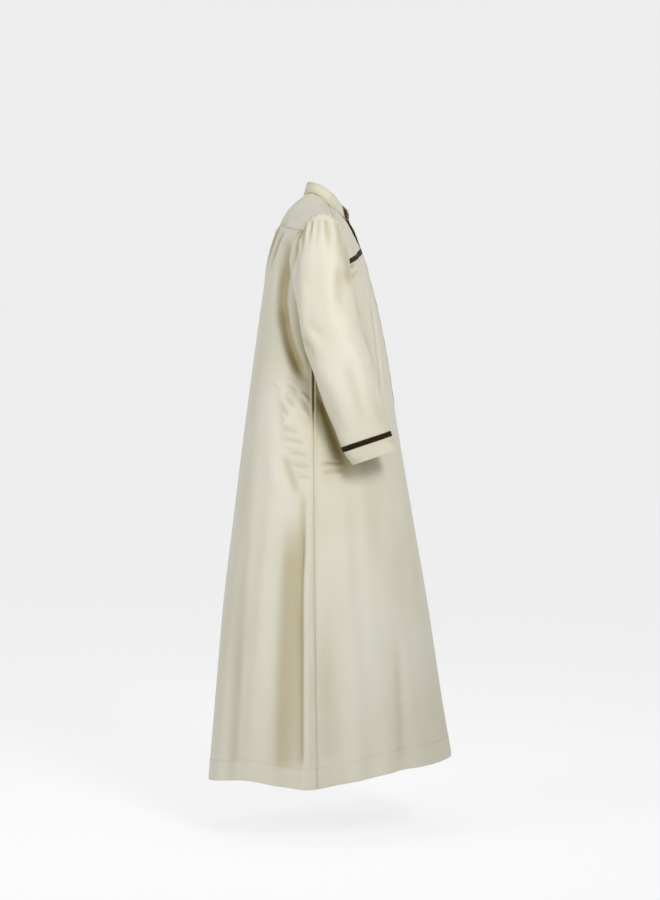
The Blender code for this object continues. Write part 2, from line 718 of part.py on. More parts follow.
def ring_points(turns, rings_at):
    """Rings of the sleeve: rows of points at the given places along its table of rings."""
    knots = np.arange(len(SLEEVE), dtype=float)
    table = np.array([tuple(ring) for ring in SLEEVE])
    values = through(knots, table, rings_at)
    tilt = np.radians(values[:, 5])
    axis = np.stack([np.zeros_like(tilt), -np.sin(tilt), -np.cos(tilt)], axis=-1)
    outwards = np.array([[1.0, 0.0, 0.0]])
    forwards = np.stack([np.zeros_like(tilt), -np.cos(tilt), np.sin(tilt)], axis=-1)
    angle = 2.0 * math.pi * turns
    centre = values[:, None, :3]
    depth = values[:, None, 3:4] * np.sin(angle)[None, :, None]
    width = -values[:, None, 4:5] * np.cos(angle)[None, :, None]
    return centre + forwards[:, None] * depth + outwards[:, None] * width, axis


def cap_points(turns):
    """Top of the sleeve, from the armhole to the first ring."""
    seam = armhole_point(turns)
    ring, axis = ring_points(turns, np.array([0.0]))
    chord = np.linalg.norm(ring[0] - seam, axis=1, keepdims=True)
    angle = 2.0 * math.pi * turns
    lean = CAP_LEAN - CAP_LEAN_CHANGE * np.cos(angle)
    fall = -CAP_FALL - CAP_FALL_CHANGE * np.cos(angle)
    ahead = -CAP_AHEAD * np.sin(angle)
    leave = unit(np.stack([lean, ahead, fall], axis=-1)) * chord * CAP_REACH
    arrive = axis[0] * chord * CAP_ARRIVE
    seam = seam + unit(leave) * CAP_GAP
    t = (np.arange(CAP_ROWS) / CAP_ROWS)[:, None, None]
    return ((1.0 + 2.0 * t) * (1.0 - t) ** 2 * seam + t * (1.0 - t) ** 2 * leave
            + t * t * (3.0 - 2.0 * t) * ring[0] + t * t * (t - 1.0) * arrive)


def sleeve_turns():
    """Turns of the sleeve's columns, shared with the panels round the armhole."""
    rises = np.arange(UPPER_ROWS) / UPPER_ROWS
    over_yoke = np.arange(YOKE_SHOULDER_COLUMNS) / YOKE_SHOULDER_COLUMNS
    front = rises * YOKE_FRONT_TURN
    shoulder = YOKE_FRONT_TURN + (YOKE_BACK_TURN - YOKE_FRONT_TURN) * over_yoke
    back = 1.0 + (YOKE_BACK_TURN - 1.0) * (1.0 - rises)
    return np.concatenate([front, shoulder, back])


def sleeve_surface(side):
    """Outer points and normals of a sleeve, from the armhole to its hem."""
    turns = sleeve_turns()
    steps = (len(SLEEVE) - 1) * ARM_ROWS_PER_RING
    rings, _ = ring_points(turns, np.arange(steps + 1) / ARM_ROWS_PER_RING)
    points = np.concatenate([cap_points(turns), rings])
    centres = points.mean(axis=1, keepdims=True)
    normals = facing_out(points, normals_of(points, closed=True), centres)
    mirror = np.array([float(side), 1.0, 1.0])
    return points * mirror, normals * mirror


def towards(points, normals, row, neighbour, distance):
    """Row of points and normals at a distance from one row of a grid towards another."""
    way = points[neighbour] - points[row]
    part = distance / np.linalg.norm(way.mean(axis=0))
    return points[row] + way * part, unit(normals[row] + (normals[neighbour] - normals[row]) * part)


def make_sleeve(side, name, ribbon_name, material, ribbon_material):
    """Sleeve and the ribbon round it."""
    points, normals = sleeve_surface(side)
    cloth(name, points, points - normals * CLOTH, material, closed=True)
    row = len(points) - 1 - ARM_ROWS_PER_RING
    above, above_facing = towards(points, normals, row, row - 1, 0.5 * CUFF_RIBBON_WIDTH)
    below, below_facing = towards(points, normals, row, row + 1, 0.5 * CUFF_RIBBON_WIDTH)
    place = np.stack([above, points[row], below])
    facing = np.stack([above_facing, normals[row], below_facing])
    cloth(ribbon_name, place + facing * (LAYER_GAP + RIBBON_CLOTH), place + facing * LAYER_GAP,
          ribbon_material, closed=True)


def make_collar(material, facing_material):
    """Stand collar and its inner side."""
    shares = np.linspace(0.0, COLLAR_END, COLLAR_COLUMNS + 1)
    foot = neck_point(shares)
    head = collar_top(shares)
    rise = np.linspace(0.0, 1.0, COLLAR_ROWS + 1)[:, None, None]
    left = foot + (head - foot) * rise
    outer = joined_halves((left * MIRROR)[:, 1:], open_edge(left))
    outer[0] += unit(outer[1] - outer[0]) * COLLAR_GAP
    normals = facing_out(outer, normals_of(outer), COLLAR_CENTRE)
    cloth("collar", outer, outer - normals * CLOTH, material)
    lining = outer - normals * (CLOTH + LAYER_GAP)
    cloth("collar_facing", lining, lining - normals * FACING_CLOTH, facing_material)


def band_levels():
    """Rows of the placket bands: the front's rows, with one just below the slot."""
    levels = panel_levels()[SLOT_ROW:]
    below = levels[0] - BAND_OVERRUN / (ARM_LEVEL - HEM[0].height)
    return np.concatenate([[below], levels])


def band_points(side):
    """Grid on the front's surface for a band that follows one edge of the slot."""
    levels = band_levels()
    distance = np.array(BAND_OFFSETS)[None, :] + side * opening_shift(levels)[:, None]
    grid_levels = np.broadcast_to(levels[:, None], distance.shape)
    shares = share_at(LEFT, np.abs(distance), grid_levels)
    points = half_body(LEFT, shares, grid_levels, back=False)
    points[..., 0] *= np.where(distance < 0.0, -1.0, 1.0)
    if side == LEFT:
        points = open_edge(points)
    normals = facing_out(points, normals_of(points), BODY_CENTRE)
    return trimmed(points, rows=(False, True), columns=(False, False)), normals


def make_placket(material, facing_material):
    """The two bands of the placket and the inner side of the upper one."""
    points, normals = band_points(LEFT)
    cloth("placket_over", points + normals * (LAYER_GAP + BAND_CLOTH), points + normals * LAYER_GAP, material)
    points, normals = points[2:, 1:-1], normals[2:, 1:-1]
    cloth("placket_facing", points, points - normals * FACING_CLOTH, facing_material)
    points, normals = band_points(RIGHT)
    depth = CLOTH + LAYER_GAP
    cloth("placket_under", points - normals * depth, points - normals * (depth + BAND_CLOTH), material)


def between_columns(grid, column):
    """Points of a grid along a line that may run between two of its columns."""
    left = min(int(column), grid.shape[1] - 2)
    return grid[:, left] + (grid[:, left + 1] - grid[:, left]) * (column - left)


def at_height(points, normals, height):
    """Point and normal where a line of points that rises reaches a height."""
    row = int(np.clip(np.searchsorted(points[:, 2], height) - 1, 0, len(points) - 2))
    part = (height - points[row, 2]) / (points[row + 1, 2] - points[row, 2])
    return (points[row] + (points[row + 1] - points[row]) * part,
            unit(normals[row] + (normals[row + 1] - normals[row]) * part))


def make_chest_ribbon(front, name, material):
    """Ribbon on half the front panel, from the placket to the armhole."""
    first = len(SKIRT_ROWS) - 1
    points, normals = front[0][first:], front[1][first:]
    last = points.shape[1] - 1
    columns = np.linspace(CHEST_RIBBON_START, last - CHEST_RIBBON_END, last * CHEST_RIBBON_STEPS)
    under = np.zeros((3, len(columns), 3))
    over = np.zeros((3, len(columns), 3))
    for j, column in enumerate(columns):
        line = between_columns(points, column)
        line_normals = between_columns(normals, column)
        across = abs(at_height(line, line_normals, CHEST_RIBBON_INNER)[0][0])
        way = (across - SLOT_HALF_WIDTH) / (CHEST_RIBBON_REACH - SLOT_HALF_WIDTH)
        middle = CHEST_RIBBON_INNER + (CHEST_RIBBON_OUTER - CHEST_RIBBON_INNER) * way
        middle -= CHEST_RIBBON_SAG * math.sin(math.pi * way)
        for i, edge in enumerate((-0.5, 0.0, 0.5)):
            place, normal = at_height(line, line_normals, middle + edge * CHEST_RIBBON_WIDTH)
            under[i, j] = place + normal * CHEST_RIBBON_GAP
            over[i, j] = place + normal * (CHEST_RIBBON_GAP + RIBBON_CLOTH)
    cloth(name, over, under, material)


def make_pocket_bag(front_side, back_side, name, material):
    """Pocket bag on the inside of the side seam."""
    front, front_normals = front_side
    back, back_normals = back_side
    height = front[:, -1, 2]
    rows = np.where((height > BAG_BOTTOM) & (height < BAG_TOP))[0]
    on_front = slice(-1 - BAG_COLUMNS, -1)
    on_back = slice(-2, -2 - BAG_COLUMNS, -1)
    seam = 0.5 * (front[rows, -1:] + back[rows, -1:])
    seam_normals = unit(front_normals[rows, -1:] + back_normals[rows, -1:])
    points = np.concatenate([front[rows, on_front], seam, back[rows, on_back]], axis=1)
    normals = np.concatenate(
        [front_normals[rows, on_front], seam_normals, back_normals[rows, on_back]], axis=1)
    inside = points - normals * (CLOTH + LAYER_GAP)
    cloth(name, inside, inside - normals * FACING_CLOTH, material)


def clear_scene():
    """Remove what the scene holds at the start."""
    for thing in list(bpy.data.objects):
        bpy.data.objects.remove(thing, do_unlink=True)


def main():
    """Build every piece."""
    clear_scene()
    ivory = make_material(IVORY_SATIN)
    brown = make_material(BROWN_SATIN)
    ribbon = make_material(DARK_RIBBON)
    right_front, right_back, right_yoke = body_halves(RIGHT)
    left_front, left_back, left_yoke = body_halves(LEFT)
    make_front(right_front, left_front, ivory)
    make_back(right_back, left_back, ivory)
    make_yoke(right_yoke, left_yoke, ivory)
    make_sleeve(RIGHT, "sleeve_right", "cuff_ribbon_right", ivory, ribbon)
    make_sleeve(LEFT, "sleeve_left", "cuff_ribbon_left", ivory, ribbon)
    make_collar(ivory, brown)
    make_placket(ivory, brown)
    make_chest_ribbon(right_front, "chest_ribbon_right", ribbon)
    make_chest_ribbon(left_front, "chest_ribbon_left", ribbon)
    make_pocket_bag(right_front, right_back, "pocket_bag_right", ivory)
    make_pocket_bag(left_front, left_back, "pocket_bag_left", ivory)


main()
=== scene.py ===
"""Looks of the full-length thobe: creased satin shells on the form of the solids, sewing, light, camera.

Metres, +Z up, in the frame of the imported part: the garment faces -Y and +X is the wearer's left.
"""
import math
from collections import namedtuple

import bpy
import numpy as np
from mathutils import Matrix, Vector


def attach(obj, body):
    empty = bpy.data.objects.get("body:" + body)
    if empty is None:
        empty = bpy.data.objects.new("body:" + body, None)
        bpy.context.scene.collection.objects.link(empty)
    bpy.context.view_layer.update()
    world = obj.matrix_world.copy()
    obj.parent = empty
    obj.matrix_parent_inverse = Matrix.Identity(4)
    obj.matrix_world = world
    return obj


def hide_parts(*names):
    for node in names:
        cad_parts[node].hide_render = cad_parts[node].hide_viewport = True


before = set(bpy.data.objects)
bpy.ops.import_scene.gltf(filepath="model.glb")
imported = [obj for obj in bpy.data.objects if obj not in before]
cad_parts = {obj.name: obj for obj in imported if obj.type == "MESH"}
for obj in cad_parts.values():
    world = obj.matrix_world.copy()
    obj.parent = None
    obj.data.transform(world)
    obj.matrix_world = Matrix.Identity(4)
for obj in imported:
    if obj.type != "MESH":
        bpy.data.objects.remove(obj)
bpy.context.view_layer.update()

MM = 0.001
SHELL = 0.9 * MM
LINING_SHELL = 0.7 * MM
LAYER_GAP = 0.4 * MM
SEAM_GAP = 0.15 * MM

LEFT = 1
RIGHT = -1
MIRROR = np.array([-1.0, 1.0, 1.0])

# Body sections, from the hem up: front and back outline, half width and depth of the side seam.
Section = namedtuple("Section", "height front back half_width side")
SECTIONS = (
    Section(-1.480, -0.344, 0.2950, 0.238, 0.012),
    Section(-1.245, -0.304, 0.2757, 0.235, 0.016),
    Section(-1.013, -0.268, 0.2551, 0.230, 0.019),
    Section(-0.781, -0.227, 0.2268, 0.225, 0.021),
    Section(-0.549, -0.188, 0.1984, 0.217, 0.022),
    Section(-0.394, -0.165, 0.1780, 0.210, 0.022),
    Section(-0.270, -0.141, 0.1610, 0.205, 0.018),
    Section(-0.152, -0.110, 0.1410, 0.198, 0.012),
    Section(-0.040, -0.064, 0.1080, 0.180, 0.008),
)
SECTION_POWER = 2.2
ARM_LEVEL = -0.270

# Height of the hem round the body, by the angle from the front.
Hem = namedtuple("Hem", "angle height")
HEM = (
    Hem(0.0, -1.4045),
    Hem(30.0, -1.4110),
    Hem(55.0, -1.4215),
    Hem(75.0, -1.4420),
    Hem(92.0, -1.4610),
    Hem(104.0, -1.4600),
    Hem(124.0, -1.4460),
    Hem(148.0, -1.4570),
    Hem(180.0, -1.4740),
)
HEM_DEPTH = 52.0 * MM

# Outline of the chest in the middle of the front, and of the back below the yoke.
Outline = namedtuple("Outline", "height depth")
CHEST = (
    Outline(-0.2700, -0.1410),
    Outline(-0.1980, -0.1210),
    Outline(-0.1520, -0.1100),
    Outline(-0.1210, -0.1000),
    Outline(-0.0770, -0.0810),
    Outline(-0.0590, -0.0730),
    Outline(-0.0315, -0.0580),
)
UPPER_BACK = (
    Outline(-0.2700, 0.1610),
    Outline(-0.1980, 0.1500),
    Outline(-0.1520, 0.1405),
    Outline(-0.1210, 0.1320),
    Outline(-0.0900, 0.1230),
    Outline(-0.0460, 0.1105),
)

# Neck seam with the collar's top edge over it, from the middle of the back to the middle of the front.
Collar = namedtuple("Collar", "x y z top_x top_y top_z")
NECK = (
    Collar(0.0000, 0.0515, 0.0260, 0.0000, 0.0410, 0.0620),
    Collar(0.0340, 0.0440, 0.0295, 0.0280, 0.0350, 0.0610),
    Collar(0.0570, 0.0260, 0.0290, 0.0470, 0.0190, 0.0555),
    Collar(0.0690, 0.0080, 0.0180, 0.0570, 0.0010, 0.0480),
    Collar(0.0705, -0.0110, 0.0010, 0.0590, -0.0150, 0.0370),
    Collar(0.0600, -0.0310, -0.0150, 0.0510, -0.0300, 0.0240),
    Collar(0.0360, -0.0480, -0.0255, 0.0330, -0.0430, 0.0085),
    Collar(0.0120, -0.0567, -0.0310, 0.0120, -0.0520, -0.0080),
    Collar(0.0000, -0.0585, -0.0315, 0.0000, -0.0540, -0.0130),
)
YOKE_NECK_ROW = 4
COLLAR_END_ROW = 7

# The armhole seam, once round from the underarm by the front; turn is its share of the way.
Armhole = namedtuple("Armhole", "turn x y z")
ARMHOLE = (
    Armhole(0.000, 0.205, 0.018, -0.270),
    Armhole(0.125, 0.199, -0.040, -0.232),
    Armhole(0.250, 0.203, -0.063, -0.160),
    Armhole(0.375, 0.222, -0.052, -0.088),
    Armhole(0.440, 0.232, -0.030, -0.056),
    Armhole(0.500, 0.236, 0.002, -0.045),
    Armhole(0.560, 0.230, 0.032, -0.057),
    Armhole(0.625, 0.212, 0.057, -0.083),
    Armhole(0.750, 0.204, 0.079, -0.150),
    Armhole(0.875, 0.203, 0.066, -0.226),
)
YOKE_FRONT_TURN = 0.440
YOKE_BACK_TURN = 0.625

# Lower seam of the yoke, from the middle of the back to the armhole.
YOKE_SEAM_MIDDLE = (0.0, 0.1105, -0.046)
YOKE_SEAM_SIDE = (0.120, 0.0880, -0.067)
YOKE_SEAM_END = (0.212, 0.0570, -0.083)
YOKE_CORNER = 0.62
YOKE_CROWN_BACK = 8.0 * MM
YOKE_CROWN_SHOULDER = 3.0 * MM

# Rings of the left sleeve: centre, half sizes front to back and side to side, and forward tilt in degrees.
Ring = namedtuple("Ring", "x y z half_depth half_width tilt")
SLEEVE = (
    Ring(0.2680, -0.0144, -0.3020, 0.0720, 0.0560, 9.0),
    Ring(0.2740, -0.0270, -0.3600, 0.0730, 0.0550, 14.0),
    Ring(0.2760, -0.0460, -0.4140, 0.0725, 0.0545, 17.5),
    Ring(0.2720, -0.0640, -0.4760, 0.0705, 0.0530, 18.6),
    Ring(0.2640, -0.0870, -0.5400, 0.0675, 0.0500, 18.6),
    Ring(0.2560, -0.1082, -0.6054, 0.0640, 0.0460, 18.6),
    Ring(0.2500, -0.1315, -0.6434, 0.0612, 0.0430, 18.6),
)
CAP_REACH = 0.62
CUFF_RIBBON_RING = 5.0
CUFF_RIBBON_WIDTH = 13.0 * MM

# Placket: two bands over a slot in the front, which part at the neck.
SLOT_HALF_WIDTH = 17.0 * MM
SLOT_LEVEL = 0.791
BAND_HALF_WIDTH = 18.0 * MM
BAND_OVERRUN = 6.0 * MM
NECK_OPENING_BOTTOM = -0.115
NECK_OPENING_SHIFT = 30.0 * MM

# How far the open left edge stands forward of the right one.
Lift = namedtuple("Lift", "height forward")
OPEN_EDGE = (
    Lift(-0.1300, 0.0000),
    Lift(-0.1100, 0.0005),
    Lift(-0.0770, 0.0045),
    Lift(-0.0590, 0.0055),
    Lift(-0.0400, 0.0065),
    Lift(-0.0240, 0.0125),
    Lift(0.0000, 0.0120),
    Lift(0.0700, 0.0120),
)
OPEN_EDGE_NEAR = 0.012
OPEN_EDGE_FAR = 0.057

# Dark ribbon across the chest: heights where it meets the armhole and the placket.
CHEST_RIBBON_WIDTH = 12.0 * MM
CHEST_RIBBON_OUTER = -0.159
CHEST_RIBBON_INNER = -0.113
CHEST_RIBBON_SAG = 1.0 * MM
CHEST_RIBBON_REACH = 0.205

# Centre-back box pleat under the yoke.
PLEAT_HALF_WIDTH = 24.0 * MM
PLEAT_FOLD = 5.0 * MM
PLEAT_RISE = 5.0 * MM
PLEAT_BOTTOM = -0.215
PLEAT_FADE = 0.12
PLEAT_OPENING = 0.02

# Large soft folds of the skirt: angle from the front, half width in degrees, depth outwards (ridges)
# or inwards (valleys, negative) at the hem, and the heights where each starts and is full.
Fold = namedtuple("Fold", "side angle half_width depth top full")
FOLDS = (
    Fold(RIGHT, 105.0, 9.0, -0.0130, -0.62, -1.00),
    Fold(RIGHT, 95.5, 5.5, 0.0050, -0.66, -1.10),
    Fold(RIGHT, 122.0, 10.0, 0.0060, -0.60, -1.10),
    Fold(RIGHT, 143.0, 9.0, -0.0070, -0.70, -1.25),
    Fold(RIGHT, 84.0, 5.5, -0.0060, -0.95, -1.30),
    Fold(RIGHT, 74.0, 8.0, 0.0080, -0.70, -1.00),
    Fold(RIGHT, 53.0, 8.0, -0.0080, -0.95, -1.35),
    Fold(RIGHT, 36.0, 9.0, 0.0050, -0.90, -1.30),
    Fold(LEFT, 102.0, 9.0, -0.0110, -0.66, -1.05),
    Fold(LEFT, 118.0, 9.0, 0.0060, -0.62, -1.10),
    Fold(LEFT, 138.0, 10.0, -0.0080, -0.68, -1.20),
    Fold(LEFT, 86.0, 6.0, -0.0050, -0.90, -1.30),
    Fold(LEFT, 72.0, 9.0, 0.0080, -0.66, -1.05),
    Fold(LEFT, 49.0, 8.0, -0.0090, -0.88, -1.30),
    Fold(LEFT, 30.0, 8.0, 0.0050, -0.92, -1.32),
)

# Side-seam pocket: the opening between front and back, and the bag behind it.
POCKET_TOP = -0.395
POCKET_BOTTOM = -0.540
POCKET_PART = 1.5 * MM
BAG_TOP = -0.385
BAG_BOTTOM = -0.700
BAG_REACH = 0.085
PLEAT_OVERHANG = 2.2 * MM
PLEAT_LIP_RISE = 0.25
PLEAT_SINK = 6.0 * MM
OPEN_EDGE_DEPTH = 0.03
FRONT_NECK_SHARE = 0.33
CORNER_COLUMNS = 7
CORNER_PASSES = 60
YOKE_CORNER_COLUMNS = 14
CORNER_REACH = 30.0 * MM
BLEND_RISE = 0.55
CAP_LEAN = 0.72
CAP_LEAN_CHANGE = 0.24
CAP_FALL = 0.62
CAP_FALL_CHANGE = 0.30
CAP_AHEAD = 0.10
CAP_ARRIVE = 1.05
BODY_CENTRE = np.array([0.0, 0.02, 0.0])
YOKE_CENTRE = np.array([0.0, 0.02, -0.3])

# Grids of the shells.
SLOT_COLUMNS = 4
CAP_ROWS = 46
RING_ROWS = 16
SLEEVE_COLUMNS = 150
COLLAR_ROWS = 26
COLLAR_COLUMNS = 90
BAND_COLUMNS = 28
CHEST_RIBBON_COLUMNS = 70
BAG_COLUMNS = 31
BAG_ROWS = 40
CREASE_POINTS = 9
SHARP_ANGLE = math.radians(48.0)

# Sewing.
HEM_STEP = 0.5 * MM
HEM_ROLL = 0.6 * MM
CUFF_HEM = 28.0 * MM
SEAM_SWELL = 0.55 * MM
SEAM_GROOVE = 1.1 * MM
STITCH_DENT = 0.45 * MM
STITCH_LENGTH = 2.6 * MM
STITCH_GAP = 0.9 * MM
STITCH_WIDTH = 0.55 * MM
STITCH_RISE = 0.22 * MM
WELT_RISE = 0.9 * MM
COLLAR_ROLL = 1.1 * MM
COLLAR_SHELL = 0.6 * MM
COLLAR_WAVE = 0.5 * MM
COLLAR_WAVES = 6.5
COLLAR_TOP_ROW = 5.0 * MM
COLLAR_FOOT_ROWS = (4.0 * MM, 8.0 * MM)
BAND_SHELL = 0.9 * MM
BAND_STITCH_OUTER = 2.5 * MM
BAND_STITCH_INNER = 9.0 * MM
BAND_EDGE_DROP = 0.5 * MM
BAND_WAVE = 0.35 * MM
BAND_WAVE_LENGTH = 0.047
RIBBON_SHELL = 0.8 * MM
RIBBON_LIFT = 0.35 * MM

# Sleeve head and underside.
HEAD_ROLL = 1.6 * MM
HEAD_ROLL_RUN = 9.0 * MM
HEAD_ROLL_WIDTH = 7.0 * MM
GATHER_SIZE = 0.9 * MM
GATHER_SHADE = 5.0
GATHER_COUNT = 47
GATHER_REACH = 22.0 * MM
HEAD_CREASES = 11
SLEEVE_UNDER_SHIFT = np.array([0.008, -0.015])
SLEEVE_UNDER_SIZE = 0.8
SLEEVE_GIRTH = 0.38
FAR_SIDE_SHIFT = 7.0 * MM
FAR_SIDE_SIZE = 0.85
FAR_SIDE_SPREAD = 0.25

# Slow waves of the hanging cloth: height in millimetres, number round the body, phase, and turn for each
# metre down.
Wave = namedtuple("Wave", "size count phase drift")
DRAPE_WAVES = (
    Wave(1.1, 5, 0.4, 1.3),
    Wave(0.9, 8, 2.1, -0.9),
    Wave(0.8, 13, 4.4, 2.2),
    Wave(0.5, 19, 1.2, -2.9),
    Wave(0.35, 29, 5.3, 3.7),
)
SLEEVE_WAVES = (
    Wave(0.8, 2, 0.7, 19.0),
    Wave(0.6, 3, 2.9, -27.0),
    Wave(0.45, 4, 4.1, 41.0),
    Wave(0.25, 7, 1.7, -66.0),
)

# Creases seen from the side: start, middle and end as depth and height in metres, half width and height
# in millimetres (troughs are negative), and the shares of the length over which each end fades.
Crease = namedtuple("Crease", "start_y start_z middle_y middle_z end_y end_z width depth fade_in fade_out")
SLEEVE_CREASES = (
    Crease(0.052, -0.083, 0.066, -0.125, 0.079, -0.215, 4.2, -9.0, 0.05, 0.4),
    Crease(-0.057, -0.108, -0.064, -0.171, -0.066, -0.234, 10.3, -5.0, 0.3, 0.3),
    Crease(0.040, -0.070, 0.049, -0.103, 0.055, -0.171, 4.1, -4.3, 0.1, 0.5),
    Crease(0.033, -0.067, 0.039, -0.096, 0.042, -0.142, 3.9, 2.6, 0.1, 0.5),
    Crease(0.026, -0.065, 0.030, -0.089, 0.038, -0.142, 3.9, -3.4, 0.1, 0.5),
    Crease(0.018, -0.062, 0.021, -0.084, 0.023, -0.128, 4.1, 2.2, 0.1, 0.5),
    Crease(0.011, -0.062, 0.013, -0.089, 0.016, -0.147, 4.6, -2.4, 0.1, 0.5),
    Crease(0.001, -0.060, 0.000, -0.084, 0.001, -0.118, 4.6, 1.9, 0.1, 0.5),
    Crease(-0.008, -0.060, -0.013, -0.094, -0.018, -0.157, 6.7, -3.8, 0.1, 0.5),
    Crease(-0.020, -0.060, -0.028, -0.084, -0.033, -0.128, 5.7, 1.9, 0.1, 0.5),
    Crease(-0.033, -0.067, -0.045, -0.108, -0.047, -0.186, 7.7, -3.3, 0.15, 0.5),
    Crease(0.055, -0.103, 0.069, -0.142, 0.074, -0.224, 4.1, 2.9, 0.15, 0.4),
    Crease(0.059, -0.118, 0.064, -0.171, 0.062, -0.263, 7.7, -2.7, 0.25, 0.4),
    Crease(0.042, -0.186, 0.050, -0.263, 0.047, -0.360, 12.9, 2.9, 0.35, 0.35),
    Crease(-0.045, -0.171, -0.042, -0.227, -0.052, -0.312, 12.9, -2.9, 0.35, 0.4),
    Crease(-0.013, -0.171, -0.013, -0.263, -0.028, -0.372, 20.6, 2.9, 0.4, 0.4),
    Crease(0.055, -0.350, 0.033, -0.379, 0.011, -0.437, 7.7, -3.1, 0.2, 0.45),
    Crease(0.045, -0.336, 0.016, -0.367, -0.018, -0.423, 10.3, 2.5, 0.3, 0.45),
    Crease(0.047, -0.307, 0.011, -0.336, -0.025, -0.360, 12.9, -1.8, 0.3, 0.45),
    Crease(0.001, -0.389, -0.030, -0.476, -0.066, -0.573, 18.0, 2.3, 0.35, 0.35),
    Crease(0.011, -0.442, -0.020, -0.510, -0.054, -0.592, 10.3, -1.8, 0.35, 0.35),
    Crease(-0.071, -0.372, -0.100, -0.452, -0.120, -0.549, 18.0, 2.9, 0.35, 0.35),
    Crease(-0.052, -0.399, -0.079, -0.481, -0.100, -0.578, 15.5, -2.2, 0.35, 0.35),
    Crease(-0.115, -0.486, -0.137, -0.534, -0.149, -0.578, 10.3, -1.4, 0.35, 0.35),
    Crease(-0.057, -0.624, -0.071, -0.641, -0.083, -0.653, 5.2, 1.1, 0.2, 0.3),
)
FRONT_CREASES = (
    Crease(-0.060, -0.185, -0.070, -0.173, -0.087, -0.156, 2.8, -4.2, 0.15, 0.4),
    Crease(-0.063, -0.200, -0.075, -0.183, -0.092, -0.163, 3.6, 2.9, 0.15, 0.4),
    Crease(-0.063, -0.215, -0.077, -0.193, -0.095, -0.176, 3.4, -2.5, 0.15, 0.5),
    Crease(-0.060, -0.161, -0.073, -0.162, -0.085, -0.153, 2.8, 2.4, 0.2, 0.5),
    Crease(-0.065, -0.230, -0.073, -0.267, -0.087, -0.309, 5.2, -3.7, 0.2, 0.4),
    Crease(-0.075, -0.220, -0.087, -0.265, -0.107, -0.324, 7.7, 2.9, 0.3, 0.4),
    Crease(-0.068, -0.089, -0.073, -0.114, -0.075, -0.136, 4.1, -1.7, 0.3, 0.3),
    Crease(-0.090, -0.329, -0.112, -0.384, -0.132, -0.463, 11.6, -2.9, 0.3, 0.3),
    Crease(0.014, -0.656, -0.016, -0.648, -0.040, -0.656, 3.9, 2.5, 0.25, 0.3),
    Crease(0.014, -0.666, -0.021, -0.658, -0.048, -0.660, 3.4, -2.5, 0.25, 0.3),
    Crease(0.012, -0.676, -0.023, -0.668, -0.053, -0.663, 3.6, 2.9, 0.25, 0.3),
    Crease(0.009, -0.686, -0.025, -0.679, -0.055, -0.670, 3.4, -2.5, 0.25, 0.3),
    Crease(0.007, -0.696, -0.028, -0.689, -0.058, -0.678, 3.6, 2.4, 0.25, 0.3),
    Crease(0.014, -0.634, -0.011, -0.629, -0.033, -0.634, 4.4, 1.7, 0.3, 0.3),
    Crease(0.014, -0.611, -0.003, -0.604, -0.023, -0.609, 4.4, 1.4, 0.3, 0.3),
    Crease(0.012, -0.493, 0.002, -0.512, -0.013, -0.532, 4.1, -1.7, 0.2, 0.4),
    Crease(-0.043, -0.700, -0.050, -0.849, -0.055, -1.022, 36.1, 3.1, 0.35, 0.4),
    Crease(-0.003, -0.998, -0.013, -1.220, -0.021, -1.406, 18.0, -1.6, 0.4, 0.15),
    Crease(-0.123, -0.215, -0.141, -0.366, -0.154, -0.497, 3.4, 3.6, 0.2, 0.15),
    Crease(-0.118, -0.230, -0.134, -0.366, -0.147, -0.493, 3.4, -2.2, 0.2, 0.15),
    Crease(-0.112, -0.255, -0.127, -0.366, -0.139, -0.478, 3.4, 1.4, 0.25, 0.2),
    Crease(0.009, -0.483, -0.023, -0.572, -0.068, -0.691, 11.6, -8.0, 0.25, 0.25),
    Crease(-0.122, -0.700, -0.127, -0.824, -0.142, -0.973, 23.2, -0.8, 0.35, 0.4),
    Crease(-0.184, -1.067, -0.186, -1.245, -0.194, -1.399, 10.3, -2.7, 0.35, 0.12),
    Crease(-0.167, -1.097, -0.169, -1.245, -0.176, -1.406, 15.5, 2.0, 0.4, 0.12),
    Crease(-0.092, -1.097, -0.097, -1.245, -0.107, -1.406, 20.6, 1.7, 0.4, 0.12),
)
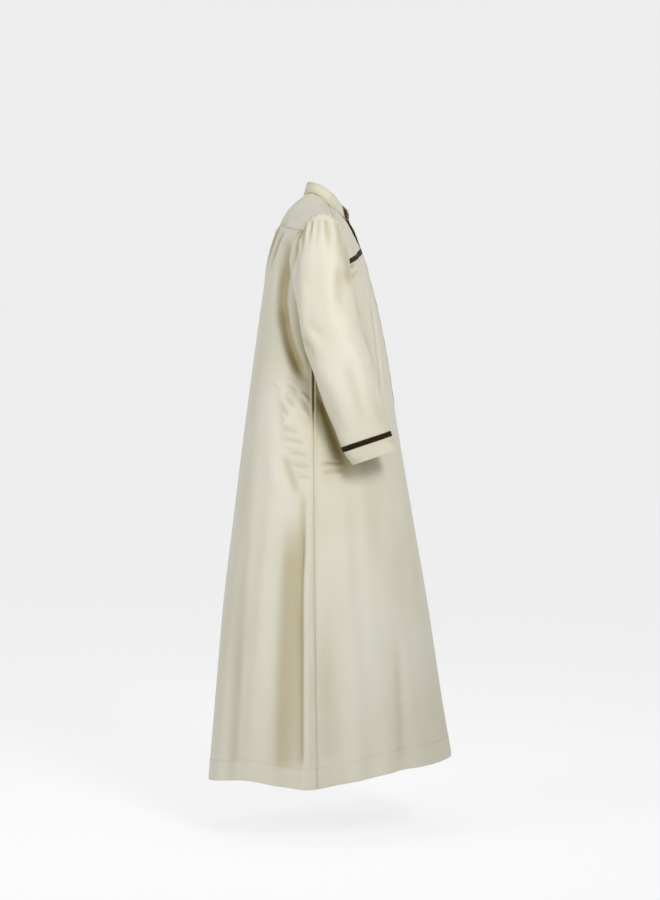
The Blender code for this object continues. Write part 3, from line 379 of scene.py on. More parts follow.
BACK_CREASES = (
    Crease(0.088, -0.089, 0.090, -0.161, 0.096, -0.255, 10.8, -5.1, 0.25, 0.45),
    Crease(0.111, -0.161, 0.118, -0.230, 0.126, -0.329, 11.6, 2.0, 0.35, 0.45),
    Crease(0.131, -0.455, 0.113, -0.463, 0.096, -0.478, 4.1, 2.0, 0.3, 0.3),
    Crease(0.098, -0.448, 0.079, -0.458, 0.059, -0.475, 4.1, 2.5, 0.3, 0.3),
    Crease(0.093, -0.462, 0.076, -0.473, 0.056, -0.490, 3.6, -2.5, 0.3, 0.3),
    Crease(0.096, -0.478, 0.079, -0.490, 0.059, -0.510, 3.9, 3.7, 0.3, 0.3),
    Crease(0.098, -0.491, 0.083, -0.505, 0.066, -0.525, 3.4, -3.2, 0.3, 0.3),
    Crease(0.103, -0.502, 0.091, -0.515, 0.074, -0.535, 3.6, 3.7, 0.3, 0.3),
    Crease(0.106, -0.517, 0.096, -0.530, 0.081, -0.547, 3.4, -2.9, 0.3, 0.3),
    Crease(0.106, -0.530, 0.096, -0.542, 0.083, -0.557, 3.4, 2.9, 0.3, 0.3),
    Crease(0.064, -0.480, 0.046, -0.493, 0.029, -0.512, 3.9, 2.5, 0.3, 0.3),
    Crease(0.059, -0.497, 0.044, -0.512, 0.029, -0.532, 3.9, -2.4, 0.3, 0.3),
    Crease(0.061, -0.515, 0.046, -0.530, 0.029, -0.552, 3.9, 2.4, 0.3, 0.3),
    Crease(0.103, -0.559, 0.081, -0.562, 0.059, -0.572, 3.9, 2.5, 0.3, 0.3),
    Crease(0.103, -0.572, 0.081, -0.577, 0.056, -0.587, 3.6, -2.5, 0.3, 0.3),
    Crease(0.101, -0.584, 0.076, -0.589, 0.049, -0.599, 3.9, 2.5, 0.3, 0.3),
    Crease(0.098, -0.599, 0.071, -0.604, 0.041, -0.611, 3.6, -2.4, 0.3, 0.3),
    Crease(0.103, -0.616, 0.074, -0.619, 0.041, -0.626, 3.9, 2.5, 0.3, 0.3),
    Crease(0.091, -0.631, 0.061, -0.636, 0.029, -0.641, 3.6, -2.4, 0.3, 0.3),
    Crease(0.091, -0.646, 0.059, -0.651, 0.027, -0.653, 3.9, 2.5, 0.3, 0.3),
    Crease(0.083, -0.662, 0.054, -0.666, 0.027, -0.667, 3.6, -2.4, 0.3, 0.3),
    Crease(0.076, -0.676, 0.051, -0.679, 0.027, -0.679, 3.6, 2.5, 0.3, 0.3),
    Crease(0.066, -0.691, 0.046, -0.694, 0.027, -0.694, 3.4, -2.0, 0.3, 0.3),
    Crease(0.081, -0.106, 0.103, -0.230, 0.093, -0.329, 12.9, -13.0, 0.35, 0.3),
    Crease(0.103, -0.255, 0.083, -0.366, 0.034, -0.463, 11.9, -14.0, 0.3, 0.3),
    Crease(0.054, -0.750, 0.054, -1.047, 0.054, -1.406, 5.7, -2.6, 0.2, 0.05),
    Crease(0.064, -0.775, 0.081, -1.072, 0.096, -1.423, 25.8, -5.6, 0.25, 0.05),
    Crease(0.097, -0.074, 0.115, -0.112, 0.139, -0.200, 3.0, -8.5, 0.30, 0.6),
    Crease(0.054, -0.086, 0.071, -0.121, 0.080, -0.215, 3.1, -4.5, 0.08, 0.4),
    Crease(0.116, -0.463, 0.103, -0.552, 0.096, -0.631, 10.3, -2.0, 0.35, 0.3),
    Crease(0.098, -0.631, 0.083, -0.681, 0.059, -0.750, 9.0, -4.1, 0.35, 0.3),
    Crease(0.135, -0.631, 0.116, -0.696, 0.096, -0.770, 18.0, 3.1, 0.35, 0.35),
    Crease(0.051, -0.725, 0.048, -0.824, 0.054, -0.973, 8.2, -3.7, 0.25, 0.4),
    Crease(0.036, -0.715, 0.036, -0.899, 0.039, -1.146, 7.7, 2.4, 0.25, 0.4),
    Crease(0.061, -0.973, 0.059, -1.196, 0.056, -1.419, 10.3, -3.1, 0.35, 0.1),
    Crease(0.039, -1.097, 0.036, -1.245, 0.034, -1.419, 10.3, 2.5, 0.35, 0.1),
    Crease(0.150, -0.899, 0.165, -1.121, 0.180, -1.406, 23.2, 2.4, 0.4, 0.1),
    Crease(0.205, -0.998, 0.215, -1.220, 0.225, -1.419, 15.5, -2.0, 0.4, 0.1),
)
YOKE_CREASES = (
    Crease(0.042, -0.031, 0.057, -0.041, 0.080, -0.061, 7.7, -1.1, 0.3, 0.3),
    Crease(0.002, -0.013, 0.017, -0.023, 0.042, -0.041, 7.7, 1.0, 0.3, 0.3),
    Crease(0.082, -0.036, 0.092, -0.048, 0.097, -0.061, 5.2, -1.0, 0.3, 0.3),
)

# Colours, as linear red, green and blue.
IVORY_LIGHT = (0.505, 0.489, 0.410)
IVORY_DARK = (0.470, 0.447, 0.348)
# Painted shade colour of the ivory satin, mixed into its base colour in hollows, creases, seams and stitch
# rows.
IVORY_PAINTED_SHADE = (0.275, 0.220, 0.085)
BROWN_LIGHT = (0.46, 0.29, 0.135)
BROWN_DARK = (0.34, 0.20, 0.085)
# Painted shade colour of the brown satin, mixed into its base colour in hollows.
BROWN_PAINTED_SHADE = (0.36, 0.21, 0.085)
RIBBON_LIGHT = (0.026, 0.014, 0.005)
RIBBON_DARK = (0.012, 0.006, 0.002)
Finish = namedtuple("Finish", "roughness sheen specular")
IVORY_FINISH = Finish(0.54, 0.20, 0.45)
BROWN_FINISH = Finish(0.36, 0.10, 0.50)
RIBBON_SPECULAR = 0.05

# Painted shade: the satin's base colour is darkened towards its shade colour by a per-point value for the
# depth of a crease or the nearness of a seam, a row of stitches, the hem's stitches or the pleat's foot, and
# by how little open sky a point sees.
SHADE_LAYER = "hollow_shade"
SHADE_DEPTH = 7.0 * MM
SHADE_STRENGTH = 0.85
SEAM_SHADE = 0.44
STITCH_SHADE = 0.24
PLEAT_SHADE = 0.8
COLLAR_SHADE = 0.5
HEM_SHADE = 0.17
HOLLOW_REACH = 0.12
HOLLOW_FULL = 0.42
HOLLOW_NONE = 0.97
Materials = namedtuple("Materials", "ivory brown ribbon thread")

# Studio and camera.
FLOOR_LEVEL = -1.60
FLOOR_SIZE = 60.0
FLOOR_GLOW = 0.78
FLOOR_COLOUR = (0.2, 0.2, 0.2, 1.0)
WORLD_STRENGTH = 0.85
SKY_SHADE = (0.18, 0.18, 0.19)
SKY_BAND = (0.22, 0.45)
EXPOSURE = 0.0
Light = namedtuple("Light", "name place aim width height power spread colour")
LIGHTS = (
    Light("key", (-3.2, -1.5, 1.25), (-0.2, -0.1, -0.22), 0.9, 1.1, 17.5, 68.0, (1.0, 0.995, 0.99)),
    Light("fill", (-2.2, 3.2, 0.3), (-0.1, 0.1, -0.8), 1.4, 2.0, 60.0, 180.0, (1.0, 1.0, 1.0)),
    Light("top", (0.0, 0.0, 2.6), (0.0, 0.0, -0.2), 3.0, 3.0, 33.0, 180.0, (1.0, 1.0, 1.0)),
)
CAMERA_DISTANCE = 5.1
CAMERA_DEPTH = -0.018
CAMERA_HEIGHT = -0.626
VIEW_HEIGHT = 2.3193
SENSOR = 36.0


def ease(value):
    """Smooth step from 0 to 1."""
    share = np.clip(value, 0.0, 1.0)
    return share * share * (3.0 - 2.0 * share)


def bell(distance, width):
    """Soft bump of height 1 that has mostly gone one width away."""
    return np.exp(-(distance / width) ** 2)


def through(knots, values, where):
    """Smooth curve through rows of values at rising knots."""
    knots = np.asarray(knots, dtype=float)
    values = np.asarray(values, dtype=float)
    slopes = np.gradient(values, knots, axis=0)
    where = np.asarray(where, dtype=float)
    left = np.clip(np.searchsorted(knots, where, side="right") - 1, 0, len(knots) - 2)
    span = knots[left + 1] - knots[left]
    t = np.clip((where - knots[left]) / span, 0.0, 1.0)
    if values.ndim > 1:
        t = t[..., None]
        span = span[..., None]
    start = (1.0 + 2.0 * t) * (1.0 - t) ** 2
    leave = t * (1.0 - t) ** 2
    end = t * t * (3.0 - 2.0 * t)
    arrive = t * t * (t - 1.0)
    return (start * values[left] + leave * span * slopes[left]
            + end * values[left + 1] + arrive * span * slopes[left + 1])


def unit(vectors):
    """Vectors scaled to length 1."""
    length = np.linalg.norm(vectors, axis=-1, keepdims=True)
    return vectors / np.maximum(length, 1e-12)


def steps(*stretches):
    """Rising values over stretches of (start, end, count)."""
    runs = [np.linspace(start, end, count, endpoint=False) for start, end, count in stretches]
    return np.concatenate([*runs, [stretches[-1][1]]])


def section_at(height):
    """Front, back, half width and side-seam depth of the body at a height."""
    rows = through([s.height for s in SECTIONS], [s[1:] for s in SECTIONS], height)
    return rows[..., 0], rows[..., 1], rows[..., 2], rows[..., 3]


def fold_depth(side, angle, height):
    """How far the skirt's folds move the cloth outwards, angle in degrees from the front."""
    total = np.zeros(np.broadcast(angle, height).shape)
    for fold in FOLDS:
        if fold.side == side:
            across = np.clip(1.0 - ((angle - fold.angle) / fold.half_width) ** 2, 0.0, 1.0) ** 2
            total += fold.depth * across * ease((fold.top - height) / (fold.top - fold.full))
    return total


def body_point(side, angle, height):
    """Point on the plain body: angle from the front in radians, side LEFT or RIGHT."""
    front, back, half_width, seam = section_at(height)
    reach = np.where(angle <= math.pi / 2, seam - front, back - seam)
    across = np.sin(angle)
    along = np.cos(angle)
    size = (np.abs(along) ** SECTION_POWER + np.abs(across) ** SECTION_POWER) ** (-1.0 / SECTION_POWER)
    x = half_width * size * across
    y = seam - reach * size * along
    out_x = x / half_width ** 2
    out_y = (y - seam) / reach ** 2
    out_length = np.hypot(out_x, out_y)
    move = fold_depth(side, np.degrees(angle), height)
    x = x + move * out_x / out_length
    y = y + move * out_y / out_length
    return np.stack([x, y, np.broadcast_to(height, x.shape)], axis=-1)


def skirt_point(side, angle, share):
    """Point on the skirt, share 0 at the hem and 1 at the underarm level."""
    hem = through([row.angle for row in HEM], [row.height for row in HEM], np.degrees(angle))
    return body_point(side, angle, hem + (ARM_LEVEL - hem) * share)


NECK_POINTS = np.array([row[:3] for row in NECK])
COLLAR_TOPS = np.array([row[3:] for row in NECK])
NECK_KNOTS = np.concatenate([[0.0], np.cumsum(np.linalg.norm(np.diff(NECK_POINTS, axis=0), axis=1))])
NECK_KNOTS = NECK_KNOTS / NECK_KNOTS[-1]
YOKE_NECK = NECK_KNOTS[YOKE_NECK_ROW]
COLLAR_END = NECK_KNOTS[COLLAR_END_ROW]


def mirrored_ends(knots, points):
    """Knots and points with a mirrored one past each end, so that the curve crosses X = 0 squarely."""
    knots = np.concatenate([[-knots[1]], knots, [2.0 * knots[-1] - knots[-2]]])
    points = np.concatenate([[points[1] * MIRROR], points, [points[-2] * MIRROR]])
    return knots, points


def neck_point(share):
    """Neck seam, share 0 at the middle of the back and 1 at the middle of the front."""
    return through(*mirrored_ends(NECK_KNOTS, NECK_POINTS), share)


def collar_top(share):
    """Top edge of the collar over the neck seam."""
    return through(*mirrored_ends(NECK_KNOTS, COLLAR_TOPS), share)


def armhole_point(turn):
    """Armhole seam of the left side."""
    turns = [row.turn - 1.0 for row in ARMHOLE[-2:]] + [row.turn for row in ARMHOLE]
    turns += [row.turn + 1.0 for row in ARMHOLE[:3]]
    points = [row[1:] for row in ARMHOLE[-2:] + ARMHOLE + ARMHOLE[:3]]
    return through(turns, points, turn)


def yoke_seam(share):
    """Back seam of the yoke, share 0 in the middle and 1 at the armhole."""
    mirrored = (-YOKE_SEAM_SIDE[0], YOKE_SEAM_SIDE[1], YOKE_SEAM_SIDE[2])
    middle = YOKE_SEAM_SIDE[0] / YOKE_SEAM_END[0]
    return through([-middle, 0.0, middle, 1.0],
                   [mirrored, YOKE_SEAM_MIDDLE, YOKE_SEAM_SIDE, YOKE_SEAM_END], share)


def yoke_point(along, across):
    """Half yoke: along 0 at the middle of the back, 1 at its front seam; across from neck to outer edge."""
    inner = neck_point(along * YOKE_NECK)
    on_back = yoke_seam(along / YOKE_CORNER)
    past_corner = (along - YOKE_CORNER) / (1.0 - YOKE_CORNER)
    on_armhole = armhole_point(YOKE_BACK_TURN + (YOKE_FRONT_TURN - YOKE_BACK_TURN) * past_corner)
    outer = np.where((along <= YOKE_CORNER)[..., None], on_back, on_armhole)
    ruling = unit(outer - inner)
    up = np.array([0.0, 0.0, 1.0])
    crown = unit(up - ruling * ruling[..., 2:3])
    rise = YOKE_CROWN_BACK + (YOKE_CROWN_SHOULDER - YOKE_CROWN_BACK) * ease(along / YOKE_CORNER)
    rise = rise * (1.0 - ease(past_corner * 2.0 - 1.0))
    across = across[..., None]
    return inner + (outer - inner) * across + crown * rise[..., None] * 4.0 * across * (1.0 - across)


def front_top(share):
    """Top edge of half the front: the neck seam, then the yoke's front seam."""
    on_neck = neck_point(1.0 - share / FRONT_NECK_SHARE * (1.0 - YOKE_NECK))
    past_neck = np.clip((share - FRONT_NECK_SHARE) / (1.0 - FRONT_NECK_SHARE), 0.0, 1.0)
    on_yoke = yoke_point(np.ones_like(past_neck), past_neck)
    return np.where((share <= FRONT_NECK_SHARE)[..., None], on_neck, on_yoke)


def middle_line(outline, share):
    """Outline of the chest or upper back in the plane X = 0, share 0 at the underarm level."""
    heights = np.array([row.height for row in outline])
    height = heights[0] + (heights[-1] - heights[0]) * share
    depth = through(heights, [row.depth for row in outline], height)
    return np.stack([np.zeros_like(height), depth, height], axis=-1)


def spanned(share, rise, bottom, top, middle, edge):
    """Patch between four edge curves."""
    u = share[..., None]
    t = rise[..., None]
    rows = (1.0 - t) * bottom(share) + t * top(share)
    start = np.zeros_like(share)
    end = np.ones_like(share)
    first = (1.0 - t) * bottom(start) + t * top(start)
    last = (1.0 - t) * bottom(end) + t * top(end)
    return rows + (1.0 - u) * (middle(rise) - first) + u * (edge(rise) - last)


def eased_to_body(patch, share, rise, angle):
    """Patch blended with the plain body above the underarm level, but not at the armhole."""
    height = ARM_LEVEL + (SECTIONS[-1].height - ARM_LEVEL) * rise
    plain = body_point(LEFT, angle, height)
    weight = (1.0 - ease(rise / BLEND_RISE)) * (1.0 - share ** 3)
    return patch + (plain - patch) * weight[..., None]


def upper(share, rise, back):
    """Upper front or back of the left side, share 0 in the middle and 1 at the armhole."""
    if back:
        patch = spanned(share, rise,
                        lambda s: body_point(LEFT, math.pi - s * math.pi / 2, np.full_like(s, ARM_LEVEL)),
                        yoke_seam,
                        lambda r: middle_line(UPPER_BACK, r),
                        lambda r: armhole_point(1.0 + r * (YOKE_BACK_TURN - 1.0)))
        return eased_to_body(patch, share, rise, math.pi - share * math.pi / 2)
    patch = spanned(share, rise,
                    lambda s: body_point(LEFT, s * math.pi / 2, np.full_like(s, ARM_LEVEL)),
                    front_top,
                    lambda r: middle_line(CHEST, r),
                    lambda r: armhole_point(r * YOKE_FRONT_TURN))
    return eased_to_body(patch, share, rise, share * math.pi / 2)


def half_body(side, share, level, back):
    """Front or back surface of one side: level 0 at the hem, 1 at the underarm, 2 at the top."""
    angle = share * math.pi / 2
    if back:
        angle = math.pi - angle
    lower = skirt_point(side, angle, np.clip(level, 0.0, 1.0))
    points = np.where((level <= 1.0)[..., None], lower, upper(share, np.clip(level - 1.0, 0.0, 1.0), back))
    points[..., 0] *= side
    return points


def pleated(points):
    """Back with its centre box pleat, whose edges overhang a little."""
    height = points[..., 2]
    down = ease((height - PLEAT_BOTTOM) / PLEAT_FADE) * ease((YOKE_SEAM_MIDDLE[2] - height) / PLEAT_OPENING)
    reach = PLEAT_HALF_WIDTH - np.abs(points[..., 0])
    on_top = ease(reach / PLEAT_FOLD)
    lip = bell(reach - PLEAT_FOLD, PLEAT_FOLD)
    foot = bell(reach + PLEAT_FOLD, PLEAT_FOLD)
    moved = points.copy()
    moved[..., 1] += down * (PLEAT_RISE * (on_top + PLEAT_LIP_RISE * lip) - PLEAT_SINK * foot)
    moved[..., 0] += np.sign(points[..., 0]) * PLEAT_OVERHANG * down * lip
    return moved


def pleat_shade(points):
    """Painted shade: a dark line at the foot of the box pleat's edges, where its fold is in shadow."""
    height = points[..., 2]
    down = ease((height - PLEAT_BOTTOM) / PLEAT_FADE) * ease((YOKE_SEAM_MIDDLE[2] - height) / PLEAT_OPENING)
    return PLEAT_SHADE * down * bell(PLEAT_HALF_WIDTH - np.abs(points[..., 0]) + PLEAT_FOLD, 4.0 * MM)


def open_edge(points):
    """Points of the left side with the unfastened edge at the neck standing forward."""
    heights = [row.height for row in OPEN_EDGE]
    forward = through(heights, [row.forward for row in OPEN_EDGE], points[..., 2])
    near = 1.0 - ease((points[..., 0] - OPEN_EDGE_NEAR) / (OPEN_EDGE_FAR - OPEN_EDGE_NEAR))
    at_front = ease(-points[..., 1] / OPEN_EDGE_DEPTH)
    moved = points.copy()
    moved[..., 1] -= forward * near * at_front
    return moved


def share_at(side, distance, level):
    """Share of the front at a distance from the middle line, for arrays of distances and levels."""
    low = np.zeros_like(distance)
    high = np.full_like(distance, 0.6)
    for _ in range(24):
        middle = 0.5 * (low + high)
        inside = np.abs(half_body(side, middle, level, back=False)[..., 0]) < distance
        low = np.where(inside, middle, low)
        high = np.where(inside, high, middle)
    return 0.5 * (low + high)


def normals_of(points, closed=False):
    """Unit normals of a grid of points; closed when its columns meet."""
    down = np.gradient(points, axis=0)
    if closed:
        along = np.roll(points, -1, axis=1) - np.roll(points, 1, axis=1)
    else:
        along = np.gradient(points, axis=1)
    return unit(np.cross(along, down))


def facing_out(points, normals, centre):
    """Normals turned away from a centre point or from a line of centres, one for each row."""
    away = np.sum(normals * (points - centre), axis=-1)
    return normals * np.where(np.sum(away) < 0.0, -1.0, 1.0)


def crease_line(crease, shift):
    """Short run of points along a crease, bent through its middle point."""
    t = np.linspace(0.0, 1.0, CREASE_POINTS)[:, None]
    start, middle, end = np.array(crease[:6]).reshape(3, 2) + shift
    pull = 2.0 * middle - 0.5 * (start + end)
    return (1.0 - t) ** 2 * start + 2.0 * t * (1.0 - t) * pull + t * t * end


def nearest_on(line, places):
    """Distance of each place from a line of points, and the share of the way along it."""
    best = np.full(len(places), np.inf)
    share = np.zeros(len(places))
    for i in range(len(line) - 1):
        step = line[i + 1] - line[i]
        part = np.clip((places - line[i]) @ step / (step @ step), 0.0, 1.0)
        distance = np.linalg.norm(places - line[i] - part[:, None] * step, axis=1)
        closer = distance < best
        best = np.where(closer, distance, best)
        share = np.where(closer, (i + part) / (len(line) - 1), share)
    return best, share


def crease_depth(places, creases, side):
    """Height of the creases at places seen from the side; those of the far side differ a little."""
    total = np.zeros(len(places))
    for number, crease in enumerate(creases):
        shift = np.zeros(2)
        size = 1.0
        if side == LEFT:
            shift = np.array([math.sin(1.3 * number), math.cos(2.1 * number)]) * FAR_SIDE_SHIFT
            size = FAR_SIDE_SIZE + FAR_SIDE_SPREAD * math.sin(2.9 * number)
        line = crease_line(crease, shift)
        width = crease.width * MM
        low, high = line.min(axis=0) - 3.0 * width, line.max(axis=0) + 3.0 * width
        close = np.all((places > low) & (places < high), axis=1)
        if close.any():
            distance, share = nearest_on(line, places[close])
            fade = ease(share / crease.fade_in) * ease((1.0 - share) / crease.fade_out)
            total[close] += size * crease.depth * MM * fade * bell(distance, width)
    return total


def drape(points):
    """Slow unevenness of hanging cloth, stronger towards the hem."""
    around = np.arctan2(points[..., 0], -points[..., 1])
    height = points[..., 2]
    total = np.zeros(around.shape)
    for wave in DRAPE_WAVES:
        total += wave.size * MM * np.sin(wave.count * around + wave.phase + wave.drift * height)
    return total * (0.35 + 0.65 * ease((-0.2 - height) / 0.9))


def beside_edge(points, column):
    """Distance of each point of a grid from one of its edge columns, measured along the rows."""
    spans = np.linalg.norm(np.diff(points, axis=1), axis=2)
    run = np.concatenate([np.zeros((len(points), 1)), np.cumsum(spans, axis=1)], axis=1)
    return np.abs(run - run[:, column][:, None])


def hollow_shade(creases):
    """Painted shade in the hollows of creases, from 0 to 1, by their depth."""
    return 1.0 - np.exp(np.minimum(creases, 0.0) / SHADE_DEPTH)


def seam_shade(distance):
    """Painted shade: a dark line in the groove along a seam, with a fainter one along the stitches beside it.
    """
    return SEAM_SHADE * bell(distance, 1.3 * MM) + STITCH_SHADE * bell(distance - 5.0 * MM, 1.0 * MM)


def seam_form(distance):
    """Pressed seam: a narrow groove at the edge and a soft swell of the turnings beside it."""
    return SEAM_SWELL * bell(distance - 5.0 * MM, 3.0 * MM) - SEAM_GROOVE * bell(distance, 1.8 * MM)


def stitch_groove(distance):
    """Dent along a row of stitches."""
    return -STITCH_DENT * bell(distance, 1.6 * MM)


LEVELS = steps((0.0, 0.006, 4), (0.006, 0.05, 20), (0.05, 0.6, 76), (0.6, SLOT_LEVEL, 60),
               (SLOT_LEVEL, 0.94, 46), (0.94, 1.0, 14), (1.0, 2.0, 68))
ARM_ROW = int(np.argmin(np.abs(LEVELS - 1.0)))
BAND_LEVELS = np.concatenate([[SLOT_LEVEL - BAND_OVERRUN / (ARM_LEVEL - HEM[0].height)],
                              LEVELS[LEVELS >= SLOT_LEVEL - 1e-9]])
FRONT_NEAR = np.linspace(0.0, 1.0, 24, endpoint=False)
FRONT_FAR = steps((FRONT_NECK_SHARE, 0.9, 30), (0.9, 0.985, 9), (0.985, 1.0, 6))
BACK_SHARES = steps((0.0, 0.078, 5), (0.078, 0.135, 14), (0.135, 0.9, 40), (0.9, 0.985, 9), (0.985, 1.0, 6))
YOKE_ALONG = steps((0.0, YOKE_CORNER, 64), (YOKE_CORNER, 0.97, 30), (0.97, 1.0, 6))
YOKE_ACROSS = steps((0.0, 0.06, 4), (0.06, 0.9, 26), (0.9, 1.0, 8))


def make_mesh(name, points, faces, material, shade=None):
    """Smooth object from points and faces of 3 or 4 corners, which are rows of -1 ended arrays."""
    mesh = bpy.data.meshes.new(name)
    sizes = np.where(faces[:, 3] < 0, 3, 4)
    corners = faces[faces >= 0]
    mesh.vertices.add(len(points))
    mesh.vertices.foreach_set("co", np.ascontiguousarray(points, dtype=np.float32).ravel())
    mesh.loops.add(len(corners))
    mesh.loops.foreach_set("vertex_index", corners.astype(np.int32))
    mesh.polygons.add(len(faces))
    starts = np.concatenate([[0], np.cumsum(sizes)[:-1]])
    mesh.polygons.foreach_set("loop_start", starts.astype(np.int32))
    mesh.update(calc_edges=True)
    mesh.validate()
    mesh.shade_smooth()
    mesh.set_sharp_from_angle(angle=SHARP_ANGLE)
    if shade is not None:
        layer = mesh.attributes.new(SHADE_LAYER, "FLOAT", "POINT")
        layer.data.foreach_set("value", np.ascontiguousarray(shade, dtype=np.float32))
    thing = bpy.data.objects.new(name, mesh)
    thing.data.materials.append(material)
    bpy.context.scene.collection.objects.link(thing)
    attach(thing, "root")
    return thing


def shell(name, outer, inner, material, closed=False, kept=None, shade=None):
    """Closed wall between two grids of points; kept marks the cells that are cloth, shade the hollows."""
    rows, columns = outer.shape[:2]
    index = np.arange(rows * columns).reshape(rows, columns)
    right = np.roll(index, -1, axis=1)
    if closed:
        quads = np.stack([index[:-1], right[:-1], right[1:], index[1:]], axis=-1)
    else:
        quads = np.stack([index[:-1, :-1], right[:-1, :-1], right[1:, :-1], index[1:, :-1]], axis=-1)
    if kept is None:
        kept = np.ones(quads.shape[:2], dtype=bool)
    quads = quads[kept]
    flat = outer.reshape(-1, 3)
    normal = np.cross(flat[quads[:, 1]] - flat[quads[:, 0]], flat[quads[:, 2]] - flat[quads[:, 0]])
    if np.sum(normal * (flat[quads[:, 0]] - inner.reshape(-1, 3)[quads[:, 0]])) < 0.0:
        quads = quads[:, ::-1]
    count = rows * columns
    edges = np.concatenate([quads[:, [i, (i + 1) % 4]] for i in range(4)])
    keys = edges[:, 0] * count + edges[:, 1]
    border = edges[~np.isin(keys, edges[:, 1] * count + edges[:, 0])]
    rim = np.stack([border[:, 1], border[:, 0], border[:, 0] + count, border[:, 1] + count], axis=-1)
    faces = np.concatenate([quads, quads[:, ::-1] + count, rim])
    points = np.concatenate([flat, inner.reshape(-1, 3)])
    used = np.unique(faces)
    place = np.zeros(2 * count, dtype=int)
    place[used] = np.arange(len(used))
    if shade is not None:
        shade = np.tile(shade.ravel(), 2)[used]
    return make_mesh(name, points[used], place[faces], material, shade)


def between(rows, position):
    """Points of a stack of rows at a position that may lie between two of them."""
    left = min(int(position), len(rows) - 2)
    return rows[left] + (rows[left + 1] - rows[left]) * (position - left)


def rows_at(points, others, distance):
    """Points, and rows of others, at a distance up each column from its first row."""
    run = np.cumsum(np.linalg.norm(np.diff(points, axis=0), axis=2), axis=0)
    run = np.concatenate([np.zeros((1, points.shape[1])), run])
    found = []
    for grid in (points, others):
        line = np.zeros(points.shape[1:])
        for j in range(points.shape[1]):
            for axis in range(3):
                line[j, axis] = np.interp(distance, run[:, j], grid[:, j, axis])
        found.append(line)
    return found[0], found[1]


def stitches(name, lines, material):
    """Rows of small stitches along lines of (points, normals)."""
    shapes = []
    for points, normals in lines:
        run = np.concatenate([[0.0], np.cumsum(np.linalg.norm(np.diff(points, axis=0), axis=1))])
        starts = np.arange(STITCH_GAP, run[-1] - STITCH_LENGTH, STITCH_LENGTH + STITCH_GAP)
        if len(starts) == 0:
            continue
        ends = [np.stack([np.interp(starts + reach, run, points[:, axis]) for axis in range(3)], axis=-1)
                for reach in (0.0, STITCH_LENGTH)]
        up = unit(np.stack([np.interp(starts, run, normals[:, axis]) for axis in range(3)], axis=-1))
        ahead = ends[1] - ends[0]
        across = unit(np.cross(ahead, up)) * STITCH_WIDTH / 2
        rise = up * STITCH_RISE
        shape = [ends[0]]
        for share in (0.22, 0.78):
            middle = ends[0] + ahead * share
            shape += [middle + across, middle + rise, middle - across, middle - 0.4 * rise]
        shape.append(ends[1])
        shapes.append(np.stack(shape, axis=1))
    points = np.concatenate(shapes)
    around = ((1, 2), (2, 3), (3, 4), (4, 1))
    cell = [(0, a, b, -1) for a, b in around] + [(a, a + 4, b + 4, b) for a, b in around]
    cell += [(9, b + 4, a + 4, -1) for a, b in around]
    cell = np.array(cell)
    offsets = 10 * np.arange(len(points))[:, None, None]
    faces = np.where(cell[None] < 0, -1, cell[None] + offsets).reshape(-1, 4)
    return make_mesh(name, points.reshape(-1, 3), faces, material)


def declare(node):
    """Hide the imported solid of a sheet."""
    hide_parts(node)


def opening_shift(level):
    """How far the slot and its bands stand to each side of the middle near the neck."""
    height = middle_line(CHEST, np.clip(level - 1.0, 0.0, 1.0))[..., 2]
    top = CHEST[-1].height
    share = (height - NECK_OPENING_BOTTOM) / (top - NECK_OPENING_BOTTOM)
    return NECK_OPENING_SHIFT * np.clip(share, 0.0, 1.0)


def hem_form(points):
    """Turned-up hem: a slight step, a row of stitches and a rolled edge, by the way up from the edge."""
    run = np.cumsum(np.linalg.norm(np.diff(points, axis=0), axis=2), axis=0)
    run = np.concatenate([np.zeros((1, points.shape[1])), run])
    return (HEM_STEP * (1.0 - ease((run - HEM_DEPTH + 2.0 * MM) / (4.0 * MM)))
            + stitch_groove(run - HEM_DEPTH) - HEM_ROLL * bell(run, 2.5 * MM)), run


def pocket_edge(points, normals, direction):
    """Side edge of a panel drawn back along the pocket opening."""
    height = points[:, -1, 2]
    middle = 0.5 * (POCKET_TOP + POCKET_BOTTOM)
    half = 0.5 * (POCKET_TOP - POCKET_BOTTOM)
    inside = np.clip(1.0 - ((height - middle) / half) ** 2, 0.0, 1.0)
    distance = beside_edge(points, -1)
    back = POCKET_PART * ease(inside * 2.0)[:, None] * (1.0 - ease(distance / (9.0 * MM)))
    welt = WELT_RISE * ease(inside * 3.0)[:, None] * bell(distance - 4.0 * MM, 3.5 * MM)
    return points + direction * back[..., None] + normals * welt[..., None]


def front_shares(side, levels):
    """Shares of the front's columns, row by row, from the middle to the side."""
    edge = share_at(side, SLOT_HALF_WIDTH + opening_shift(levels), levels)[:, None]
    slot = edge * (np.arange(1, SLOT_COLUMNS) / SLOT_COLUMNS)
    near = edge + (FRONT_NECK_SHARE - edge) * FRONT_NEAR
    far = np.broadcast_to(FRONT_FAR, (len(levels), len(FRONT_FAR)))
    return np.concatenate([slot, near, far], axis=1)


def evened(points, column, spread_over, far):
    """Grid with a bend along one of its columns evened out, where it is far enough from a fixed edge."""
    first, last = column - spread_over, column + spread_over + 1
    weight = (0.5 * ease(far[:, first:last] / CORNER_REACH))[..., None]
    for _ in range(CORNER_PASSES):
        near = points[:, first:last]
        beside = 0.5 * (points[:, first - 1:last - 1] + points[:, first + 1:last + 1])
        near += (beside - near) * weight
    return points


